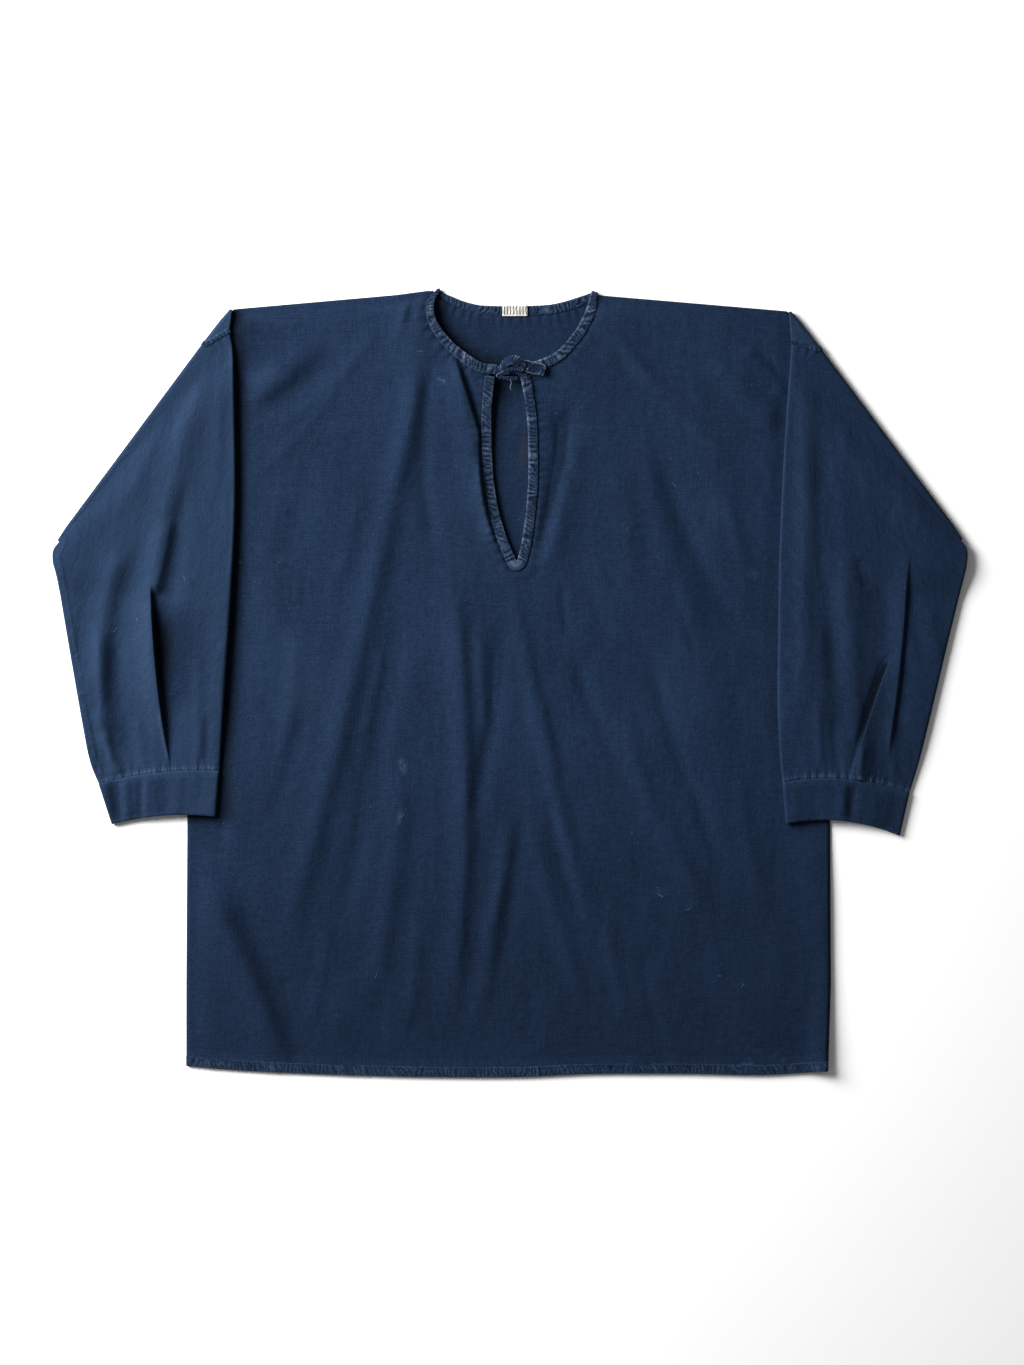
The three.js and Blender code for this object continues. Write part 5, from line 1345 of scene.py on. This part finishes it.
def tapePiece(name, rows, material, steps=60, ridges=0.12, seed=3):
    # rows: x, y, z, half width, thickness, roll in degrees
    table = curveThrough(rows, steps)
    path, half, thick, roll = table[:, :3], table[:, 3], table[:, 4], np.radians(table[:, 5])
    run = directions(path)
    side = np.cross(run, [0, 0, 1.0])
    side /= np.linalg.norm(side, axis=1)[:, None] + 1e-9
    over = np.cross(side, run)
    turned = side * np.cos(roll)[:, None] + over * np.sin(roll)[:, None]
    up = -side * np.sin(roll)[:, None] + over * np.cos(roll)[:, None]
    angle = np.linspace(0, 2 * math.pi, tapeShape["around"], endpoint=False)
    c = np.sign(np.cos(angle)) * np.abs(np.cos(angle)) ** tapeShape["sideRound"]
    h = np.sign(np.sin(angle)) * np.abs(np.sin(angle)) ** tapeShape["topRound"]
    s = runLength(path)
    crest = unevenWave(s[:, None] + tapeShape["lean"] * c[None, :], tapeShape["spacing"], seed)
    wave = ridges * (crest - 0.5)
    groove = -tapeShape["groove"] * near(np.abs(c), tapeShape["grooveReach"], tapeShape["grooveAt"])
    tall = h[None, :] * (thick[:, None] / 2 + wave + groove[None, :])
    wide = c[None, :, None] * half[:, None, None]
    points = path[:, None] + turned[:, None] * wide + up[:, None] * tall[..., None]
    weave = np.stack(np.broadcast_arrays(s[:, None], 5 * c[None, :] + 0 * s[:, None]), -1)
    patchy = 0.6 + 0.7 * softNoise(s[:, None] / 4.0, 0 * s[:, None] + c[None, :], seed + 9)
    # Lighter where the crests and edges are rubbed; the last term is painted shade in the troughs between the ridges
    wear = np.clip(patchy * (0.9 * np.abs(c[None, :]) ** 6 + 0.9 * crest ** 3) - 0.7 * (1 - crest) ** 3, -0.75, 0.85)
    piece = makePiece(name, points, cappedTube(steps, len(angle)), weave, None, wear, material)
    turnOutwards(piece)
    return piece


tie = {
    "tie_wrap": [(-7.5, 310.5, 10.2, 2.6, 2.2, 0), (-5.5, 317.0, 13.2, 3.9, 2.6, 15), (0.5, 321.0, 15.0, 4.7, 2.8, 12),
                 (7.0, 320.2, 15.2, 4.8, 2.8, -8), (11.8, 316.0, 14.0, 4.2, 2.6, -18),
                 (9.0, 311.0, 12.2, 3.4, 2.2, -12)],
    "tie_cross": [(-11, 310.6, 9.8, 3.6, 2.0, 0), (-5, 312.6, 11.2, 4.0, 2.4, 0), (1.5, 314.0, 12.6, 3.8, 2.6, 0),
                  (8, 314.6, 12.8, 3.6, 2.4, 0)],
    "tie_left_strand": [(-15, 310.2, 8.8, 4.8, 2.2, 0), (-9, 311.6, 9.6, 4.2, 2.2, 0),
                        (-2, 313.2, 10.2, 3.4, 2.0, 0), (4, 314.2, 10.4, 2.8, 2.0, 0)],
    "tie_right_strand": [(14.8, 297, 8.6, 3.2, 2.0, 10), (14.2, 303.5, 9.4, 3.2, 2.0, 8),
                         (10.5, 309.0, 10.4, 3.0, 2.0, 0), (4.5, 313, 11.0, 2.8, 2.0, 0)],
    "tie_tail_right": [(9.5, 318.6, 13.8, 3.0, 2.6, 0), (15, 317.2, 13.2, 4.4, 2.6, 6),
                       (22, 314.6, 12.4, 5.2, 2.5, 10), (29, 312.4, 11.6, 5.9, 2.6, 12),
                       (34.9, 311.2, 11.2, 6.1, 2.8, 12)],
    "tie_loop_left": [(-2, 310.0, 11.0, 2.2, 1.6, 0), (-8, 307.8, 10.4, 1.9, 1.5, 10),
                      (-12.6, 305.8, 9.8, 1.3, 1.4, 20), (-9.5, 304.2, 9.5, 1.2, 1.3, 0),
                      (-3.5, 303.6, 9.4, 1.7, 1.4, 0), (3.5, 303.0, 9.2, 1.9, 1.4, 0), (8, 303.6, 9.2, 1.3, 1.3, 0)],
    "tie_thread": [(0.6, 304.0, 9.2, 0.5, 0.9, 0), (1.4, 299, 8.6, 0.45, 0.8, 0), (0.8, 295, 8.0, 0.4, 0.7, 0),
                   (1.2, 291.6, 7.6, 0.35, 0.6, 0)],
}
tiePieces = {name: tapePiece(name, rows, indigoTrim, ridges=min(0.6, 0.22 * rows[1][3]), seed=100 + i)
             for i, (name, rows) in enumerate(tie.items())}
# Light frayed yarns along the edges of the tie
frayed = {
    "tie_fray_top": [(11, 321.2, 15.4, 0.28, 0.5, 0), (17, 320.4, 15.2, 0.3, 0.5, 0), (24, 318.6, 14.4, 0.35, 0.6, 0),
                     (30, 317.6, 13.8, 0.4, 0.7, 0), (34.6, 315.6, 13.2, 0.4, 0.7, 0),
                     (35.2, 311.5, 12.8, 0.3, 0.5, 0)],
    "tie_fray_low": [(11.5, 312.4, 13.0, 0.3, 0.5, 0), (18, 309.4, 12.2, 0.35, 0.6, 0),
                     (26, 307.4, 11.4, 0.3, 0.6, 0), (34, 306.2, 11.2, 0.35, 0.6, 0)],
    "tie_fray_left": [(-13, 306.6, 11.2, 0.25, 0.6, 0), (-9.6, 308.6, 12.2, 0.3, 0.6, 0),
                      (-6, 310.2, 13.2, 0.2, 0.6, 0)],
    "tie_fray_end": [(0.4, 302, 11.0, 0.45, 0.6, 0), (1.4, 298.4, 9.6, 0.4, 0.6, 0), (0.2, 295, 8.4, 0.45, 0.6, 0),
                     (0.8, 291.6, 7.4, 0.3, 0.5, 0)],
}
frayYarns = [tapePiece(name, rows, frayThread, ridges=0.05, seed=120) for name, rows in frayed.items()]
for piece, node in (("tie_wrap", "tie_knot"), ("tie_left_strand", "tie_left"), ("tie_right_strand", "tie_right"),
                    ("tie_tail_right", "tie_end_right"), ("tie_loop_left", "tie_end_left")):
    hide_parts(node)

half, thick = labelTape["halfWidth"], labelTape["thick"]
labelMiddle = labelTape["top"] - half
labelRows = [(labelTape["fromX"], labelMiddle, 3.2, half, thick, 0), (4, labelMiddle - 0.1, 3.3, half, thick, 0),
             (labelTape["toX"], labelMiddle + 0.1, 3.2, half, thick, 0)]
labelPiece = tapePiece("label_tape", labelRows, creamTape, steps=24, ridges=0.05)
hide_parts("neck_label")
labelLine = np.array([(labelTape["fromX"] - 1.5, labelMiddle, labelTape["high"]),
                      (labelTape["toX"] + 1.5, labelMiddle, labelTape["high"])])
labelStitches = stitchRow("label_stitches", labelLine, "label", darkThread, (0.0, 1, 0))

# Short curled fibres of lint on the cloth: middle, length and direction in degrees
lint = [(-108, -84, 8, 100), (-108, -133, 7, 50), (-134, -292.5, 6, 70), (161, 224, 3, 100), (164.5, 198, 4.5, 130),
        (118, 153, 4, 60), (122, -150, 3, 20), (150, -212.5, 7, 150), (178, -225, 7, 20), (-230, 120, 3, 40),
        (210, -292.5, 4, 10), (233, -302.5, 4, 60), (-68, 301, 7, 160), (-90, 330, 6, 170), (46, 268, 3, 100),
        (-325, 102.5, 6, 95), (-395, 52.5, 6, 50), (-372, 62, 4, 120), (-455, 108, 4, 10), (-270, 120, 3, 80)]


def fibre(x, y, length, degrees, seed):
    t = np.linspace(-0.5, 0.5, 7)
    turn = math.radians(degrees)
    bend = np.random.RandomState(seed).uniform(-0.9, 0.9)
    aside = bend * length * (0.25 - t * t)
    plan = np.stack([x + length * t * math.cos(turn) - aside * math.sin(turn),
                     y + length * t * math.sin(turn) + aside * math.cos(turn)], 1)
    cloths = [frontCloth, sleeveCloths["left"][0], sleeveCloths["right"][0]]
    rows = np.hstack([topOf(cloths, plan, 0.25), np.tile([0.13, 0.25, 0], (len(t), 1))])
    return tapePiece(f"lint_{seed}", [tuple(row) for row in rows], paleThread, steps=12, ridges=0.0, seed=seed)


fibres = [fibre(*row, 200 + i) for i, row in enumerate(lint)]
print("tie, label and lint made")

for side in ("left", "right"):
    sleeveCloth, cuffCloth, cornerCloth = sleeveCloths[side]

# Stage, light and camera
bpy.ops.object.select_all(action="DESELECT")
bpy.ops.mesh.primitive_plane_add(size=floorLook["size"], location=(0, 0, floorLook["low"]))
floor = bpy.context.object
floor.name = "floor"
floorPaint, floorTree, floorMake, floorShader = newMaterial("palePaper", 0.1)
floorGrain = floorMake("TexNoise", Vector=floorMake("TexCoord").outputs["Object"], Scale=6.0, Detail=4.0)
floorTint = floorMake("Mix", {"data_type": "RGBA"}, i0=floorGrain.outputs["Fac"],
                      i6=(*[floorLook["darker"]] * 3, 1), i7=(*[floorLook["lighter"]] * 3, 1))
floorTree.links.new(floorTint.outputs[2], floorShader.inputs["Base Color"])
floorShader.inputs["Roughness"].default_value = 0.9
floor.data.materials.append(floorPaint)

world = bpy.data.worlds.new("studio")
bpy.context.scene.world = world
world.use_nodes = True
worldMake = nodeMaker(world.node_tree)
seenBy = worldMake("LightPath")
brightness = worldMake("MapRange", Value=seenBy.outputs["Is Camera Ray"],
                       **{"To Min": light["fill"], "To Max": light["backdrop"]})
backdrop = world.node_tree.nodes["Background"]
backdrop.inputs["Color"].default_value = (1, 1, 1, 1)
world.node_tree.links.new(brightness.outputs[0], backdrop.inputs["Strength"])

keyData = bpy.data.lights.new("key", "AREA")
keyData.size = light["size"]
keyData.energy = light["watts"]
key = bpy.data.objects.new("key", keyData)
key.location = (light["keyX"], light["keyY"], light["keyZ"])
key.rotation_mode = "QUATERNION"
key.rotation_quaternion = (Vector((0, 0, 0)) - key.location).to_track_quat("-Z", "Y")
bpy.context.scene.collection.objects.link(key)

cameraData = bpy.data.cameras.new("above")
cameraData.sensor_fit = "AUTO"
cameraData.sensor_width = camera["sensor"]
cameraData.lens = camera["sensor"] * camera["height"] / camera["seenHigh"]
cameraObject = bpy.data.objects.new("above", cameraData)
cameraObject.location = (camera["middleX"] * mm, camera["middleY"] * mm, camera["height"] * mm)
bpy.context.scene.collection.objects.link(cameraObject)
bpy.context.scene.camera = cameraObject
bpy.context.scene.view_settings.view_transform = "Standard"

print("scene ready")
